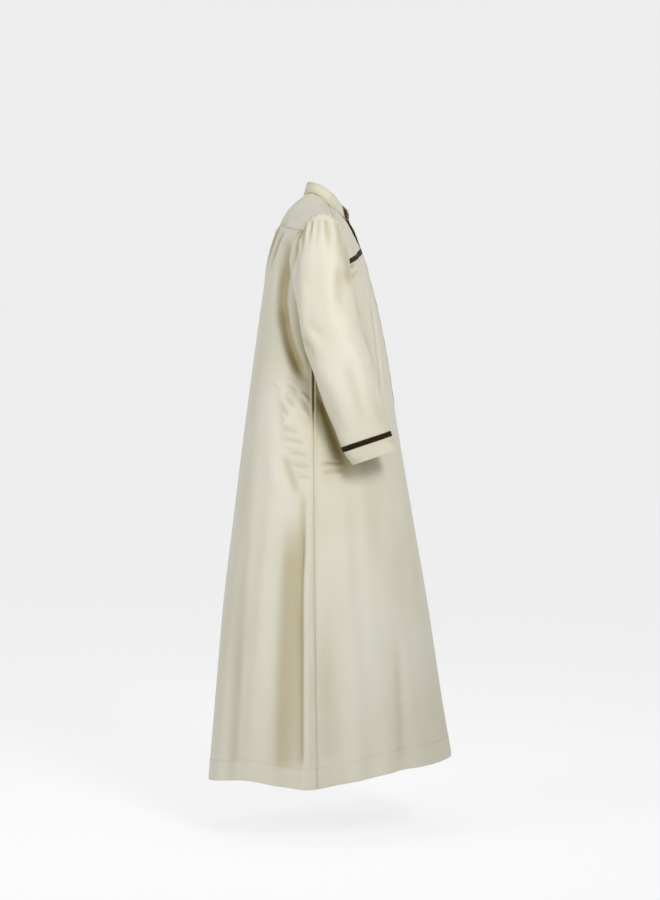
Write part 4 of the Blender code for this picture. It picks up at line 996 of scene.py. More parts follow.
def half_panel(side, back):
    """Outer points of half the front or back, from the middle to the side, creased and sewn."""
    levels = LEVELS
    if back:
        shares, grid_levels = np.meshgrid(BACK_SHARES, levels)
    else:
        shares = front_shares(side, levels)
        grid_levels = np.broadcast_to(levels[:, None], shares.shape)
    points = half_body(side, shares, grid_levels, back)
    if back:
        points = pleated(points)
    else:
        to_top = np.linalg.norm(points - points[-1:], axis=2)
        points = evened(points, SLOT_COLUMNS - 1 + len(FRONT_NEAR), CORNER_COLUMNS, to_top)
        if side == LEFT:
            points = open_edge(points)
    normals = facing_out(points, normals_of(points), BODY_CENTRE)
    creases = BACK_CREASES if back else FRONT_CREASES
    places = points.reshape(-1, 3)[:, 1:]
    pressed = crease_depth(places, creases, side).reshape(shares.shape)
    at_side = beside_edge(points, -1)
    hem, run = hem_form(points)
    top = np.linalg.norm(points - points[-1:], axis=2)
    move = pressed + drape(points) + seam_form(at_side) + hem
    shade = hollow_shade(pressed) + seam_shade(at_side) + HEM_SHADE * bell(run - HEM_DEPTH, 1.3 * MM)
    if back:
        move += seam_form(top)
        shade += seam_shade(top)
    else:
        past_neck = ease((shares - FRONT_NECK_SHARE) / 0.03)
        move += seam_form(top) * (0.5 + 0.5 * past_neck)
        shade += seam_shade(top) * past_neck
    points = points + normals * move[..., None]
    direction = np.array([0.0, 1.0 if back else -1.0, 0.0])
    return pocket_edge(points, normals, direction), shade


def joined(right, left, middle=None):
    """Both halves of a panel in one grid, right side first."""
    parts = [right[:, ::-1]]
    if middle is not None:
        parts.append(middle[:, None])
    parts.append(left)
    return np.concatenate(parts, axis=1)


def hem_thickness(outer):
    """Thickness of a panel, doubled along its turned-up hem."""
    _, run = hem_form(outer)
    return SHELL * (1.0 + 0.9 * (1.0 - ease((run - HEM_DEPTH) / (1.5 * MM))))


def make_front(material, thread):
    """Front panel with the placket slot."""
    right, right_shade = half_panel(RIGHT, back=False)
    left, left_shade = half_panel(LEFT, back=False)
    shade = joined(right_shade, left_shade, np.zeros(len(LEVELS)))
    middle = half_body(LEFT, np.zeros_like(LEVELS), LEVELS, back=False)
    normal = np.array([0.0, -1.0, 0.0])
    hem, _ = hem_form(middle[:, None])
    middle = middle + normal * (drape(middle) + hem[:, 0])[:, None]
    outer = joined(right, left, middle)
    normals = facing_out(outer, normals_of(outer), BODY_CENTRE)
    kept = np.ones((outer.shape[0] - 1, outer.shape[1] - 1), dtype=bool)
    centre = right.shape[1]
    slot_row = int(np.argmin(np.abs(LEVELS - SLOT_LEVEL)))
    kept[slot_row:, centre - SLOT_COLUMNS:centre + SLOT_COLUMNS] = False
    inner = outer - normals * hem_thickness(outer)[..., None]
    piece = shell("thobe_front", outer, inner, material, kept=kept, shade=shade)
    lines = [rows_at(outer, normals, HEM_DEPTH)]
    from_slot = slice(centre - SLOT_COLUMNS, None, -1), slice(centre + SLOT_COLUMNS, None)
    for half, side in zip(from_slot, (RIGHT, LEFT)):
        points, facing = outer[:, half], normals[:, half]
        lines += edge_rows(points, facing, ARM_ROW, None, 5.0 * MM)
        lines += edge_rows(points, facing, *pocket_rows(points), 7.0 * MM)
    sewing = stitches("thobe_front_stitches", lines, thread)
    declare("front")
    right = outer[:, :centre][:, ::-1], normals[:, :centre][:, ::-1]
    left = outer[:, centre + 1:], normals[:, centre + 1:]
    return right, left


def edge_rows(points, normals, first, last, distance):
    """Line on a panel a distance in from its side edge, over some of its rows."""
    points, normals = points[first:last, ::-1], normals[first:last, ::-1]
    turned = rows_at(points.transpose(1, 0, 2), normals.transpose(1, 0, 2), distance)
    return [turned]


def pocket_rows(points):
    """First and last row beside the pocket opening."""
    height = points[:, -1, 2]
    rows = np.where((height > POCKET_BOTTOM - 8.0 * MM) & (height < POCKET_TOP + 8.0 * MM))[0]
    return rows[0], rows[-1] + 1


def make_back(material, thread):
    """Back panel with its box pleat."""
    right, right_shade = half_panel(RIGHT, back=True)
    left, left_shade = half_panel(LEFT, back=True)
    outer = joined(right[:, 1:], left)
    shade = joined(right_shade[:, 1:], left_shade) + pleat_shade(outer)
    centre = right.shape[1] - 1
    outer[:, centre] = 0.5 * (right[:, 0] + left[:, 0])
    normals = facing_out(outer, normals_of(outer), BODY_CENTRE)
    inner = outer - normals * hem_thickness(outer)[..., None]
    piece = shell("thobe_back", outer, inner, material, shade=shade)
    lines = [rows_at(outer, normals, HEM_DEPTH)]
    halves = []
    for half in (slice(centre, None, -1), slice(centre, None)):
        points, facing = outer[:, half], normals[:, half]
        halves.append((points, facing))
        lines += edge_rows(points, facing, ARM_ROW, None, 5.0 * MM)
        lines += edge_rows(points, facing, *pocket_rows(points), 7.0 * MM)
    sewing = stitches("thobe_back_stitches", lines, thread)
    declare("back")
    return halves


def make_yoke(material, thread):
    """Yoke over both shoulders."""
    along, across = np.meshgrid(YOKE_ALONG, YOKE_ACROSS)
    left = yoke_point(along, across)
    to_edge = np.minimum(np.linalg.norm(left - left[:1], axis=2), np.linalg.norm(left - left[-1:], axis=2))
    left = evened(left, int(np.argmin(np.abs(YOKE_ALONG - YOKE_CORNER))), YOKE_CORNER_COLUMNS, to_edge)
    halves = []
    shades = []
    for side in (RIGHT, LEFT):
        points = left * MIRROR if side == RIGHT else left
        both = joined((points * MIRROR)[:, 1:], points)
        normals = facing_out(both, normals_of(both), YOKE_CENTRE)[:, left.shape[1] - 1:]
        places = points.reshape(-1, 3)[:, 1:]
        pressed = crease_depth(places, YOKE_CREASES, side).reshape(along.shape)
        move = pressed + 0.4 * drape(points)
        to_back = np.linalg.norm(points - points[-1:], axis=2)
        to_front = beside_edge(points, -1)
        to_neck = np.linalg.norm(points - points[:1], axis=2)
        move += seam_form(to_back) + seam_form(to_front) + seam_form(to_neck)
        move += stitch_groove(to_back - 4.0 * MM) + stitch_groove(to_front - 4.0 * MM)
        halves.append(points + normals * move[..., None])
        # Painted shade along the yoke's seams.
        painted_seam_shade = seam_shade(to_back) + seam_shade(to_front) + seam_shade(to_neck)
        shades.append(hollow_shade(pressed) + painted_seam_shade)
    outer = joined(halves[0][:, 1:], halves[1])
    shade = joined(shades[0][:, 1:], shades[1])
    normals = facing_out(outer, normals_of(outer), YOKE_CENTRE)
    piece = shell("thobe_yoke", outer, outer - normals * SHELL, material, shade=shade)
    lines = [rows_at(outer[::-1], normals[::-1], 4.0 * MM)]
    for grid, facing in ((outer, normals), (outer[:, ::-1], normals[:, ::-1])):
        lines.append(rows_at(grid.transpose(1, 0, 2), facing.transpose(1, 0, 2), 4.0 * MM))
    sewing = stitches("thobe_yoke_stitches", lines, thread)
    declare("yoke")


def ring_points(turns, rings_at):
    """Rings of the sleeve: rows of points at the given places along its table of rings."""
    knots = np.arange(len(SLEEVE), dtype=float)
    table = np.array([tuple(ring) for ring in SLEEVE])
    values = through(knots, table, rings_at)
    tilt = np.radians(values[:, 5])
    axis = np.stack([np.zeros_like(tilt), -np.sin(tilt), -np.cos(tilt)], axis=-1)
    outwards = np.array([[1.0, 0.0, 0.0]])
    forwards = np.stack([np.zeros_like(tilt), -np.cos(tilt), np.sin(tilt)], axis=-1)
    angle = 2.0 * math.pi * turns
    centre = values[:, None, :3]
    depth = values[:, None, 3:4] * np.sin(angle)[None, :, None]
    width = -values[:, None, 4:5] * np.cos(angle)[None, :, None]
    return centre + forwards[:, None] * depth + outwards[:, None] * width, axis


def cap_points(turns, rows):
    """Top of the sleeve, from the armhole to the first ring."""
    seam = armhole_point(turns)
    ring, axis = ring_points(turns, np.array([0.0]))
    chord = np.linalg.norm(ring[0] - seam, axis=1, keepdims=True)
    angle = 2.0 * math.pi * turns
    leave = np.stack([CAP_LEAN - CAP_LEAN_CHANGE * np.cos(angle), -CAP_AHEAD * np.sin(angle),
                      -CAP_FALL - CAP_FALL_CHANGE * np.cos(angle)], axis=-1)
    leave = unit(leave) * chord * CAP_REACH
    arrive = axis[0] * chord * CAP_ARRIVE
    seam = seam + unit(leave) * SEAM_GAP
    t = (np.arange(rows) / rows)[:, None, None]
    return ((1.0 + 2.0 * t) * (1.0 - t) ** 2 * seam + t * (1.0 - t) ** 2 * leave
            + t * t * (3.0 - 2.0 * t) * ring[0] + t * t * (t - 1.0) * arrive)


def make_sleeve(side, name, ribbon_name, materials, thread):
    """Sleeve, the ribbon round its cuff, and its stitches."""
    turns = np.arange(SLEEVE_COLUMNS) / SLEEVE_COLUMNS
    rings_at = np.arange((len(SLEEVE) - 1) * RING_ROWS + 1) / RING_ROWS
    rings, _ = ring_points(turns, rings_at)
    points = np.concatenate([cap_points(turns, CAP_ROWS), rings])
    centres = points.mean(axis=1, keepdims=True)
    normals = facing_out(points, normals_of(points, closed=True), centres)
    places = points.reshape(-1, 3)[:, 1:]
    outside = ease((normals[..., 0] + 0.2) / 0.5)
    inside = ease((-normals[..., 0] + 0.1) / 0.5)
    head = crease_depth(places, SLEEVE_CREASES, side).reshape(outside.shape)
    under = crease_depth(places + SLEEVE_UNDER_SHIFT, SLEEVE_CREASES[HEAD_CREASES:], -side)
    under = under.reshape(outside.shape)
    pressed = head * outside + SLEEVE_UNDER_SIZE * under * inside
    move = pressed + sleeve_drape(points, turns)
    run = np.cumsum(np.linalg.norm(np.diff(points, axis=0), axis=2), axis=0)
    run = np.concatenate([np.zeros((1, SLEEVE_COLUMNS)), run])
    up = run[-1:] - run
    off_underarm = ease((turns - 0.22) / 0.2) * ease((0.92 - turns) / 0.2)
    move += HEAD_ROLL * bell(run - HEAD_ROLL_RUN, HEAD_ROLL_WIDTH) * off_underarm
    move -= SEAM_GROOVE * bell(run, 1.8 * MM)
    gathers = GATHER_SIZE * np.sin(2.0 * math.pi * GATHER_COUNT * turns + 1.1 * np.sin(19.0 * turns))
    over_head = ease((turns - 0.34) / 0.08) * ease((0.68 - turns) / 0.08)
    gathers = gathers * over_head * np.exp(-run / GATHER_REACH) * ease(run / (3.0 * MM))
    move += gathers
    shade = hollow_shade(pressed + GATHER_SHADE * gathers) + SEAM_SHADE * bell(run, 2.5 * MM)
    move += HEM_STEP * (1.0 - ease((up - CUFF_HEM + 2.0 * MM) / (4.0 * MM))) + stitch_groove(up - CUFF_HEM)
    move -= HEM_ROLL * bell(up, 2.0 * MM)
    seam_turn = np.minimum(turns, 1.0 - turns) * SLEEVE_GIRTH
    move += 0.7 * seam_form(seam_turn)[None]
    shade += seam_shade(seam_turn)[None] + STITCH_SHADE * bell(up - CUFF_HEM, 1.3 * MM)
    outer = points + normals * move[..., None]
    normals = facing_out(outer, normals_of(outer, closed=True), centres)
    mirror = np.array([float(side), 1.0, 1.0])
    outer, normals = outer * mirror, normals * mirror
    thickness = SHELL * (1.0 + 0.9 * (1.0 - ease((up - CUFF_HEM) / (1.5 * MM))))
    inner = outer - normals * thickness[..., None]
    piece = shell(name, outer, inner, materials.ivory, closed=True, shade=shade)
    row = CAP_ROWS + int(CUFF_RIBBON_RING) * RING_ROWS
    reach = run.mean(axis=1)
    across = reach[row] + np.array([-0.5, -0.44, 0.0, 0.44, 0.5]) * CUFF_RIBBON_WIDTH
    rows = np.interp(across, reach, np.arange(len(reach)))
    place = np.stack([between(outer, r) for r in rows])
    facing = unit(np.stack([between(normals, r) for r in rows]))
    lift = RIBBON_LIFT + RIBBON_SHELL * np.array([0.7, 1.0, 1.0, 1.0, 0.7])[:, None, None]
    over, under = place + facing * lift, place + facing * RIBBON_LIFT
    ribbon = shell(ribbon_name, over, under, materials.ribbon, closed=True)
    hem, hem_facing = rows_at(outer[::-1], normals[::-1], CUFF_HEM)
    lines = [(np.concatenate([hem, hem[:1]]), np.concatenate([hem_facing, hem_facing[:1]]))]
    sewing = stitches(name + "_stitches", lines, thread)
    declare(name.replace("thobe_", ""))
    declare(ribbon_name.replace("thobe_", ""))


def sleeve_drape(points, turns):
    """Slow unevenness along and round a sleeve."""
    height = points[..., 2]
    angle = 2.0 * math.pi * turns[None]
    total = np.zeros(height.shape)
    for wave in SLEEVE_WAVES:
        total += wave.size * MM * np.sin(wave.count * angle + wave.phase + wave.drift * height)
    return total * ease((-0.09 - height) / 0.08)


def make_collar(materials, thread):
    """Stand collar with a rolled top edge, its inner side and its rows of stitches."""
    shares = np.linspace(0.0, COLLAR_END, COLLAR_COLUMNS + 1)
    foot = neck_point(shares)
    head = collar_top(shares)
    rise = np.linspace(0.0, 1.0, COLLAR_ROWS + 1)[:, None, None]
    left = foot + (head - foot) * rise
    outer = joined((left * MIRROR)[:, 1:], open_edge(left))
    outer[0] += unit(outer[1] - outer[0]) * LAYER_GAP * 1.5
    normals = facing_out(outer, normals_of(outer), np.zeros(3))
    height = np.linalg.norm(outer - outer[:1], axis=2)
    drop = np.linalg.norm(outer - outer[-1:], axis=2)
    ends = np.minimum(beside_edge(outer, 0), beside_edge(outer, -1))
    turns = COLLAR_WAVES * np.linspace(0.0, 1.0, outer.shape[1])
    move = COLLAR_WAVE * np.sin(2.0 * math.pi * turns)[None] * rise[:, :, 0]
    move = move + stitch_groove(drop - COLLAR_TOP_ROW)
    move += stitch_groove(height - COLLAR_FOOT_ROWS[0]) + stitch_groove(height - COLLAR_FOOT_ROWS[1])
    move += stitch_groove(ends - COLLAR_TOP_ROW) * 0.6 - 0.5 * SEAM_GROOVE * bell(height, 1.8 * MM)
    outer = outer + normals * move[..., None]
    shade = SEAM_SHADE * bell(height, 1.3 * MM)
    foot_rows = [height - row for row in COLLAR_FOOT_ROWS]
    for distance in (drop - COLLAR_TOP_ROW, *foot_rows, ends - COLLAR_TOP_ROW):
        shade = shade + COLLAR_SHADE * bell(distance, 1.2 * MM)
    normals = facing_out(outer, normals_of(outer), np.zeros(3))
    up = unit(outer[-1] - outer[-2])
    roll = [outer[-1] - normals[-1] * COLLAR_ROLL * (1.0 - math.cos(turn)) + up * COLLAR_ROLL * math.sin(turn)
            for turn in np.linspace(0.0, math.pi, 9)[1:]]
    tuck = roll[-1] - up * 2.5 * MM
    grid = np.concatenate([outer, np.stack(roll), tuck[None]])
    way = facing_out(grid[:len(outer)], normals_of(grid)[:len(outer)], np.zeros(3))
    facing = normals_of(grid)
    facing = facing * (1.0 if np.sum(facing[:len(outer)] * way) > 0.0 else -1.0)
    shade = np.concatenate([shade, np.zeros((len(grid) - len(outer), grid.shape[1]))])
    piece = shell("thobe_collar", grid, grid - facing * COLLAR_SHELL, materials.ivory, shade=shade)
    inside = outer - normals * (2.0 * COLLAR_ROLL)
    inside[-1] -= up * 1.2 * MM
    inside[0] -= unit(inside[1] - inside[0]) * 3.0 * MM
    lining = shell("thobe_collar_facing", inside, inside - normals * LINING_SHELL, materials.brown)
    lines = [rows_at(outer[::-1], normals[::-1], COLLAR_TOP_ROW)]
    lines += [rows_at(outer, normals, row) for row in COLLAR_FOOT_ROWS]
    for grid, way in ((outer, normals), (outer[:, ::-1], normals[:, ::-1])):
        column = rows_at(grid.transpose(1, 0, 2), way.transpose(1, 0, 2), 5.0 * MM)
        lines.append((column[0][4:-3], column[1][4:-3]))
    sewing = stitches("thobe_collar_stitches", lines, thread)
    declare("collar")
    declare("collar_facing")


def band_grid(side, offsets):
    """Grid on the front's surface for a band that follows one edge of the slot."""
    levels = BAND_LEVELS
    distance = offsets[None, :] + side * opening_shift(levels)[:, None]
    grid_levels = np.broadcast_to(levels[:, None], distance.shape)
    shares = share_at(LEFT, np.abs(distance), grid_levels)
    points = half_body(LEFT, shares, grid_levels, back=False)
    points[..., 0] *= np.where(distance < 0.0, -1.0, 1.0)
    if side == LEFT:
        points = open_edge(points)
    normals = facing_out(points, normals_of(points), BODY_CENTRE)
    return points + normals * drape(points)[..., None], normals


def make_placket(materials, thread):
    """The two bands of the placket and the inner side of the upper one."""
    offsets = np.linspace(-BAND_HALF_WIDTH, BAND_HALF_WIDTH, BAND_COLUMNS + 1)
    points, normals = band_grid(LEFT, offsets)
    down = np.linalg.norm(points - points[:1], axis=2)
    edge = BAND_HALF_WIDTH - np.abs(offsets)
    move = stitch_groove(edge - BAND_STITCH_OUTER)[None] + stitch_groove(edge - BAND_STITCH_INNER)[None]
    move = move - BAND_EDGE_DROP * bell(edge, 1.2 * MM)[None] + stitch_groove(down - 5.0 * MM)
    turns = points[..., 2] / BAND_WAVE_LENGTH
    move = move + BAND_WAVE * np.sin(2.0 * math.pi * turns + 3.0 * offsets[None] / BAND_HALF_WIDTH)
    outer = points + normals * (LAYER_GAP + BAND_SHELL + move)[..., None]
    facing = facing_out(outer, normals_of(outer), BODY_CENTRE)
    rows = bell(edge - BAND_STITCH_OUTER, 0.8 * MM) + bell(edge - BAND_STITCH_INNER, 0.8 * MM)
    shade = STITCH_SHADE * rows
    shade = shade[None] + STITCH_SHADE * bell(down - 5.0 * MM, 1.0 * MM)
    inner = points + normals * LAYER_GAP * 0.5
    piece = shell("thobe_placket_over", outer, inner, materials.ivory, shade=shade)
    lines = []
    for inset in (BAND_STITCH_OUTER, BAND_STITCH_INNER):
        for grid, way in ((outer, facing), (outer[:, ::-1], facing[:, ::-1])):
            lines.append(rows_at(grid.transpose(1, 0, 2), way.transpose(1, 0, 2), inset))
    lines.append(rows_at(outer, facing, 5.0 * MM))
    sewing = stitches("thobe_placket_stitches", lines, thread)
    kept = slice(3, -3)
    inner = points[6:, kept], normals[6:, kept]
    lining = shell("thobe_placket_facing", inner[0] - inner[1] * 0.1 * MM,
                   inner[0] - inner[1] * (0.1 * MM + LINING_SHELL), materials.brown)
    points, normals = band_grid(RIGHT, offsets)
    depth = SHELL + LAYER_GAP
    under = shell("thobe_placket_under", points - normals * depth, points - normals * (depth + BAND_SHELL),
                  materials.ivory)
    declare("placket_over")
    declare("placket_facing")
    declare("placket_under")


def at_height(points, normals, height):
    """Point and normal where a line of points that rises reaches a height."""
    row = int(np.clip(np.searchsorted(points[:, 2], height) - 1, 0, len(points) - 2))
    part = (height - points[row, 2]) / (points[row + 1, 2] - points[row, 2])
    return (points[row] + (points[row + 1] - points[row]) * part,
            unit(normals[row] + (normals[row + 1] - normals[row]) * part))


def make_chest_ribbon(half, name, material):
    """Ribbon on half the front panel, from the placket to the armhole."""
    points, normals = half[0][ARM_ROW:], half[1][ARM_ROW:]
    first = SLOT_COLUMNS - 1
    last = points.shape[1] - 1
    columns = np.linspace(first + 0.5, last - 0.3, CHEST_RIBBON_COLUMNS)
    edges = (-0.5, -0.44, -0.2, 0.0, 0.2, 0.44, 0.5)
    lifts = (0.7, 1.0, 1.05, 1.0, 1.05, 1.0, 0.7)
    under = np.zeros((len(edges), len(columns), 3))
    over = np.zeros((len(edges), len(columns), 3))
    for j, column in enumerate(columns):
        left = min(int(column), last - 1)
        part = column - left
        line = points[:, left] * (1.0 - part) + points[:, left + 1] * part
        facing = normals[:, left] * (1.0 - part) + normals[:, left + 1] * part
        across = abs(at_height(line, facing, CHEST_RIBBON_INNER)[0][0])
        way = (across - SLOT_HALF_WIDTH) / (CHEST_RIBBON_REACH - SLOT_HALF_WIDTH)
        middle = CHEST_RIBBON_INNER + (CHEST_RIBBON_OUTER - CHEST_RIBBON_INNER) * way
        middle -= CHEST_RIBBON_SAG * math.sin(math.pi * way)
        for i, (edge, lift) in enumerate(zip(edges, lifts)):
            place, normal = at_height(line, facing, middle + edge * CHEST_RIBBON_WIDTH)
            under[i, j] = place + normal * RIBBON_LIFT
            over[i, j] = place + normal * (RIBBON_LIFT + RIBBON_SHELL * lift)
    piece = shell(name, over, under, material)
    declare(name.replace("thobe_", ""))


def make_pocket_bag(side, name, material):
    """Pocket bag on the inside of the side seam, with round lower corners."""
    around = np.linspace(-1.0, 1.0, BAG_COLUMNS)
    down = np.linspace(0.0, 1.0, BAG_ROWS)
    across, fall = np.meshgrid(around, down)
    width = BAG_REACH * np.sqrt(np.clip(1.0 - np.clip((fall - 0.7) / 0.3, 0.0, 1.0) ** 2 * 0.75, 0.0, 1.0))
    height = BAG_TOP + (BAG_BOTTOM - BAG_TOP) * fall
    _, _, half_width, _ = section_at(height)
    angle = math.pi / 2 + across * width / (half_width * 1.05)
    points = body_point(side, angle, height)
    points[..., 0] *= side
    normals = facing_out(points, normals_of(points), BODY_CENTRE)
    inward = 4.0 * MM + 5.0 * MM * bell(across * BAG_REACH, 16.0 * MM) * ease((0.55 - fall) / 0.2)
    places = points.reshape(-1, 3)[:, 1:]
    pressed = [crease_depth(places, creases, side) for creases in (FRONT_CREASES, BACK_CREASES)]
    pressed = [depth.reshape(across.shape) for depth in pressed]
    inward -= np.minimum(np.where(across < 0.0, pressed[0], pressed[1]), 0.0)
    outer = points - normals * inward[..., None]
    piece = shell(name, outer, outer - normals * LINING_SHELL, material)
    declare(name.replace("thobe_", ""))


def link(tree, output, target):
    """Join an output of a node tree to an input."""
    tree.links.new(output, target)


def node(tree, kind, **values):
    """New node with some of its values set."""
    made = tree.nodes.new(kind)
    for name, value in values.items():
        if hasattr(made, name):
            setattr(made, name, value)
        else:
            made.inputs[name.replace("_", " ")].default_value = value
    return made


def stretched(tree, scale):
    """Object coordinates multiplied by a scale for each axis."""
    place = node(tree, "ShaderNodeTexCoord")
    mapping = node(tree, "ShaderNodeMapping")
    mapping.inputs["Scale"].default_value = scale
    link(tree, place.outputs["Object"], mapping.inputs["Vector"])
    return mapping.outputs["Vector"]


def noise(tree, scale, detail=2.0, roughness=0.5):
    """Noise texture in stretched object coordinates."""
    made = node(tree, "ShaderNodeTexNoise", Scale=1.0, Detail=detail, Roughness=roughness)
    link(tree, stretched(tree, scale), made.inputs["Vector"])
    return made.outputs["Fac"]


def ramp(tree, value, colours, low, high):
    """Value between low and high turned into a colour between two colours."""
    made = node(tree, "ShaderNodeValToRGB")
    made.color_ramp.elements[0].position = low
    made.color_ramp.elements[1].position = high
    for element, colour in zip(made.color_ramp.elements, colours):
        element.color = (*colour, 1.0)
    link(tree, value, made.inputs["Fac"])
    return made.outputs["Color"]


def spread(tree, value, low, high):
    """Value from 0 to 1 turned into one between low and high."""
    made = node(tree, "ShaderNodeMapRange")
    made.inputs["To Min"].default_value = low
    made.inputs["To Max"].default_value = high
    link(tree, value, made.inputs["Value"])
    return made.outputs["Result"]


def bump(tree, heights):
    """Normals from a list of (height, distance, strength), one over the other."""
    normal = None
    for height, distance, strength in heights:
        made = node(tree, "ShaderNodeBump", Strength=strength, Distance=distance)
        link(tree, height, made.inputs["Height"])
        if normal is not None:
            link(tree, normal, made.inputs["Normal"])
        normal = made.outputs["Normal"]
    return normal


def cloth_material(name, sheen, specular):
    """Material and its shader, with its even values set on the shader itself."""
    material = bpy.data.materials.new(name)
    material.use_nodes = True
    shader = material.node_tree.nodes["Principled BSDF"]
    shader.inputs["Metallic"].default_value = 0.0
    shader.inputs["Sheen Weight"].default_value = sheen
    shader.inputs["Sheen Roughness"].default_value = 0.35
    shader.inputs["Specular IOR Level"].default_value = specular
    return material, material.node_tree, shader


def satin(name, light, dark, painted_shade_colour, finish):
    """Satin: fine long floats down the cloth, slight crumpling, uneven colour and gloss, and painted shade in
    hollows, creases and seams.
    """
    material, tree, shader = cloth_material(name, finish.sheen, finish.specular)
    shade = noise(tree, (5.0, 5.0, 3.0), 3.0, 0.55)
    open_colour = ramp(tree, shade, (dark, light), 0.36, 0.64)
    # Painted shade: the base colour is mixed towards the shade colour where ambient occlusion finds a hollow
    # and where the point's painted shade value is high.
    hollow = node(tree, "ShaderNodeAmbientOcclusion", samples=8, Distance=HOLLOW_REACH)
    depth = node(tree, "ShaderNodeMapRange")
    depth.inputs["From Min"].default_value = HOLLOW_FULL
    depth.inputs["From Max"].default_value = HOLLOW_NONE
    link(tree, hollow.outputs["AO"], depth.inputs["Value"])
    creases = node(tree, "ShaderNodeAttribute", attribute_name=SHADE_LAYER)
    open_share = spread(tree, creases.outputs["Fac"], 1.0, 1.0 - SHADE_STRENGTH)
    both = node(tree, "ShaderNodeMath", operation="MULTIPLY")
    link(tree, depth.outputs["Result"], both.inputs[0])
    link(tree, open_share, both.inputs[1])
    mixed = node(tree, "ShaderNodeMix", data_type="RGBA")
    link(tree, both.outputs["Value"], mixed.inputs["Factor"])
    mixed.inputs["A"].default_value = (*painted_shade_colour, 1.0)
    link(tree, open_colour, mixed.inputs["B"])
    link(tree, mixed.outputs["Result"], shader.inputs["Base Color"])
    floats = noise(tree, (1900.0, 1900.0, 260.0), 2.0)
    slubs = noise(tree, (420.0, 420.0, 24.0), 2.0)
    crumple = noise(tree, (38.0, 38.0, 26.0), 3.0, 0.45)
    gloss = spread(tree, slubs, finish.roughness - 0.05, finish.roughness + 0.05)
    link(tree, gloss, shader.inputs["Roughness"])
    link(tree, bump(tree, ((crumple, 1.6 * MM, 0.22), (slubs, 0.12 * MM, 0.25), (floats, 0.06 * MM, 0.35))),
         shader.inputs["Normal"])
    return material


def ribbon_material(name):
    """Dark woven ribbon with fine cross ribs."""
    material, tree, shader = cloth_material(name, 0.0, RIBBON_SPECULAR)
    ribs = noise(tree, (260.0, 1500.0, 90.0), 1.0)
    shade = noise(tree, (60.0, 60.0, 220.0), 2.0)
    link(tree, ramp(tree, shade, (RIBBON_DARK, RIBBON_LIGHT), 0.3, 0.7), shader.inputs["Base Color"])
    link(tree, spread(tree, ribs, 0.42, 0.62), shader.inputs["Roughness"])
    link(tree, bump(tree, ((ribs, 0.2 * MM, 0.5),)), shader.inputs["Normal"])
    return material


def thread_material(name, light, dark):
    """Twisted sewing thread."""
    material, tree, shader = cloth_material(name, 0.3, 0.4)
    twist = noise(tree, (1400.0, 1400.0, 1400.0), 1.0)
    link(tree, ramp(tree, twist, (dark, light), 0.35, 0.65), shader.inputs["Base Color"])
    link(tree, spread(tree, twist, 0.4, 0.6), shader.inputs["Roughness"])
    link(tree, bump(tree, ((twist, 0.1 * MM, 0.4),)), shader.inputs["Normal"])
    return material


def area_light(light):
    """Soft rectangular light turned towards a point."""
    data = bpy.data.lights.new(light.name, "AREA")
    data.shape = "RECTANGLE"
    data.size = light.width
    data.size_y = light.height
    data.energy = light.power
    data.spread = math.radians(light.spread)
    data.color = light.colour
    lamp = bpy.data.objects.new(light.name, data)
    lamp.location = light.place
    way = Vector(light.aim) - Vector(light.place)
    lamp.rotation_euler = way.to_track_quat("-Z", "Y").to_euler()
    bpy.context.scene.collection.objects.link(lamp)


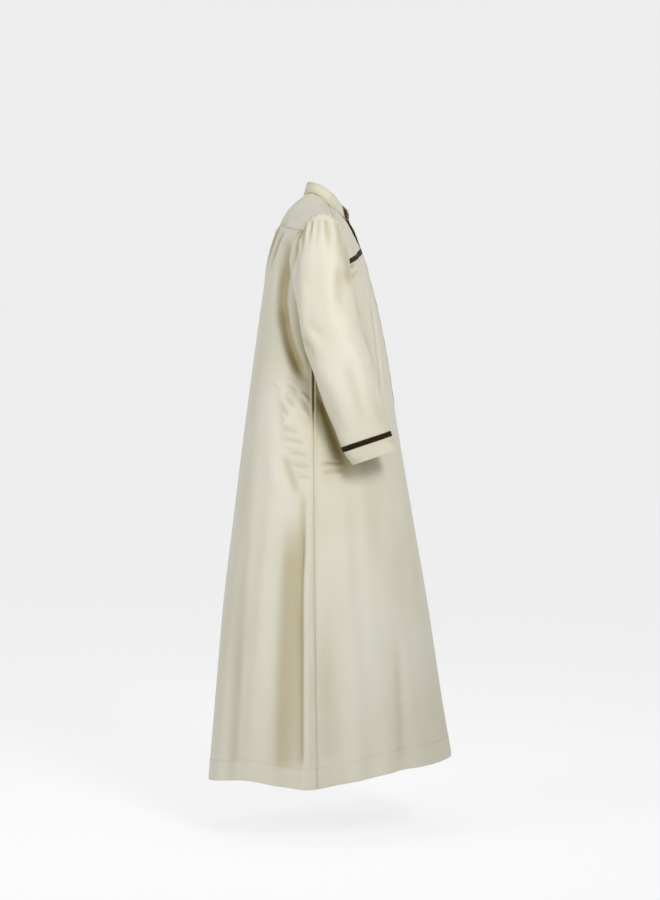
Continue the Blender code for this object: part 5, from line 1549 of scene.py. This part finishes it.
def make_studio():
    """Pale floor, soft lights and an even pale surrounding."""
    mesh = bpy.data.meshes.new("floor")
    half = FLOOR_SIZE / 2
    corners = [(-half, -half, FLOOR_LEVEL), (half, -half, FLOOR_LEVEL), (half, half, FLOOR_LEVEL),
               (-half, half, FLOOR_LEVEL)]
    mesh.from_pydata(corners, [], [(0, 1, 2, 3)])
    floor = bpy.data.objects.new("floor", mesh)
    material = bpy.data.materials.new("floor_paint")
    material.use_nodes = True
    shader = material.node_tree.nodes["Principled BSDF"]
    shader.inputs["Base Color"].default_value = FLOOR_COLOUR
    shader.inputs["Roughness"].default_value = 0.9
    shader.inputs["Emission Color"].default_value = (1.0, 1.0, 1.0, 1.0)
    shader.inputs["Emission Strength"].default_value = FLOOR_GLOW
    floor.data.materials.append(material)
    bpy.context.scene.collection.objects.link(floor)
    world = bpy.data.worlds.new("studio")
    world.use_nodes = True
    tree = world.node_tree
    background = tree.nodes["Background"]
    way = node(tree, "ShaderNodeTexCoord")
    parts = node(tree, "ShaderNodeSeparateXYZ")
    link(tree, way.outputs["Generated"], parts.inputs["Vector"])
    glow = ramp(tree, parts.outputs["Z"], ((1.0, 1.0, 1.0), SKY_SHADE), *SKY_BAND)
    link(tree, glow, background.inputs["Color"])
    background.inputs["Strength"].default_value = WORLD_STRENGTH
    bpy.context.scene.world = world
    for light in LIGHTS:
        area_light(light)


def make_camera():
    """Camera level with the middle of the garment, looking at its right side."""
    data = bpy.data.cameras.new("camera")
    data.sensor_width = SENSOR
    data.lens = SENSOR * CAMERA_DISTANCE / VIEW_HEIGHT
    camera = bpy.data.objects.new("camera", data)
    camera.location = (-CAMERA_DISTANCE, CAMERA_DEPTH, CAMERA_HEIGHT)
    camera.rotation_euler = (math.pi / 2, 0.0, -math.pi / 2)
    bpy.context.scene.collection.objects.link(camera)
    bpy.context.scene.camera = camera


def main():
    """Build the pieces, the studio and the camera."""
    materials = Materials(
        satin("ivory_satin", IVORY_LIGHT, IVORY_DARK, IVORY_PAINTED_SHADE, IVORY_FINISH),
        satin("brown_satin", BROWN_LIGHT, BROWN_DARK, BROWN_PAINTED_SHADE, BROWN_FINISH),
        ribbon_material("dark_ribbon"),
        thread_material("ivory_thread", IVORY_LIGHT, IVORY_DARK))
    thread = materials.thread
    right_front, left_front = make_front(materials.ivory, thread)
    make_back(materials.ivory, thread)
    make_yoke(materials.ivory, thread)
    make_sleeve(RIGHT, "thobe_sleeve_right", "thobe_cuff_ribbon_right", materials, thread)
    make_sleeve(LEFT, "thobe_sleeve_left", "thobe_cuff_ribbon_left", materials, thread)
    make_collar(materials, thread)
    make_placket(materials, thread)
    make_chest_ribbon(right_front, "thobe_chest_ribbon_right", materials.ribbon)
    make_chest_ribbon(left_front, "thobe_chest_ribbon_left", materials.ribbon)
    make_pocket_bag(RIGHT, "thobe_pocket_bag_right", materials.ivory)
    make_pocket_bag(LEFT, "thobe_pocket_bag_left", materials.ivory)
    make_studio()
    make_camera()


main()
settings = bpy.context.scene.view_settings
settings.view_transform = "Standard"
settings.look = "None"
settings.exposure = EXPOSURE
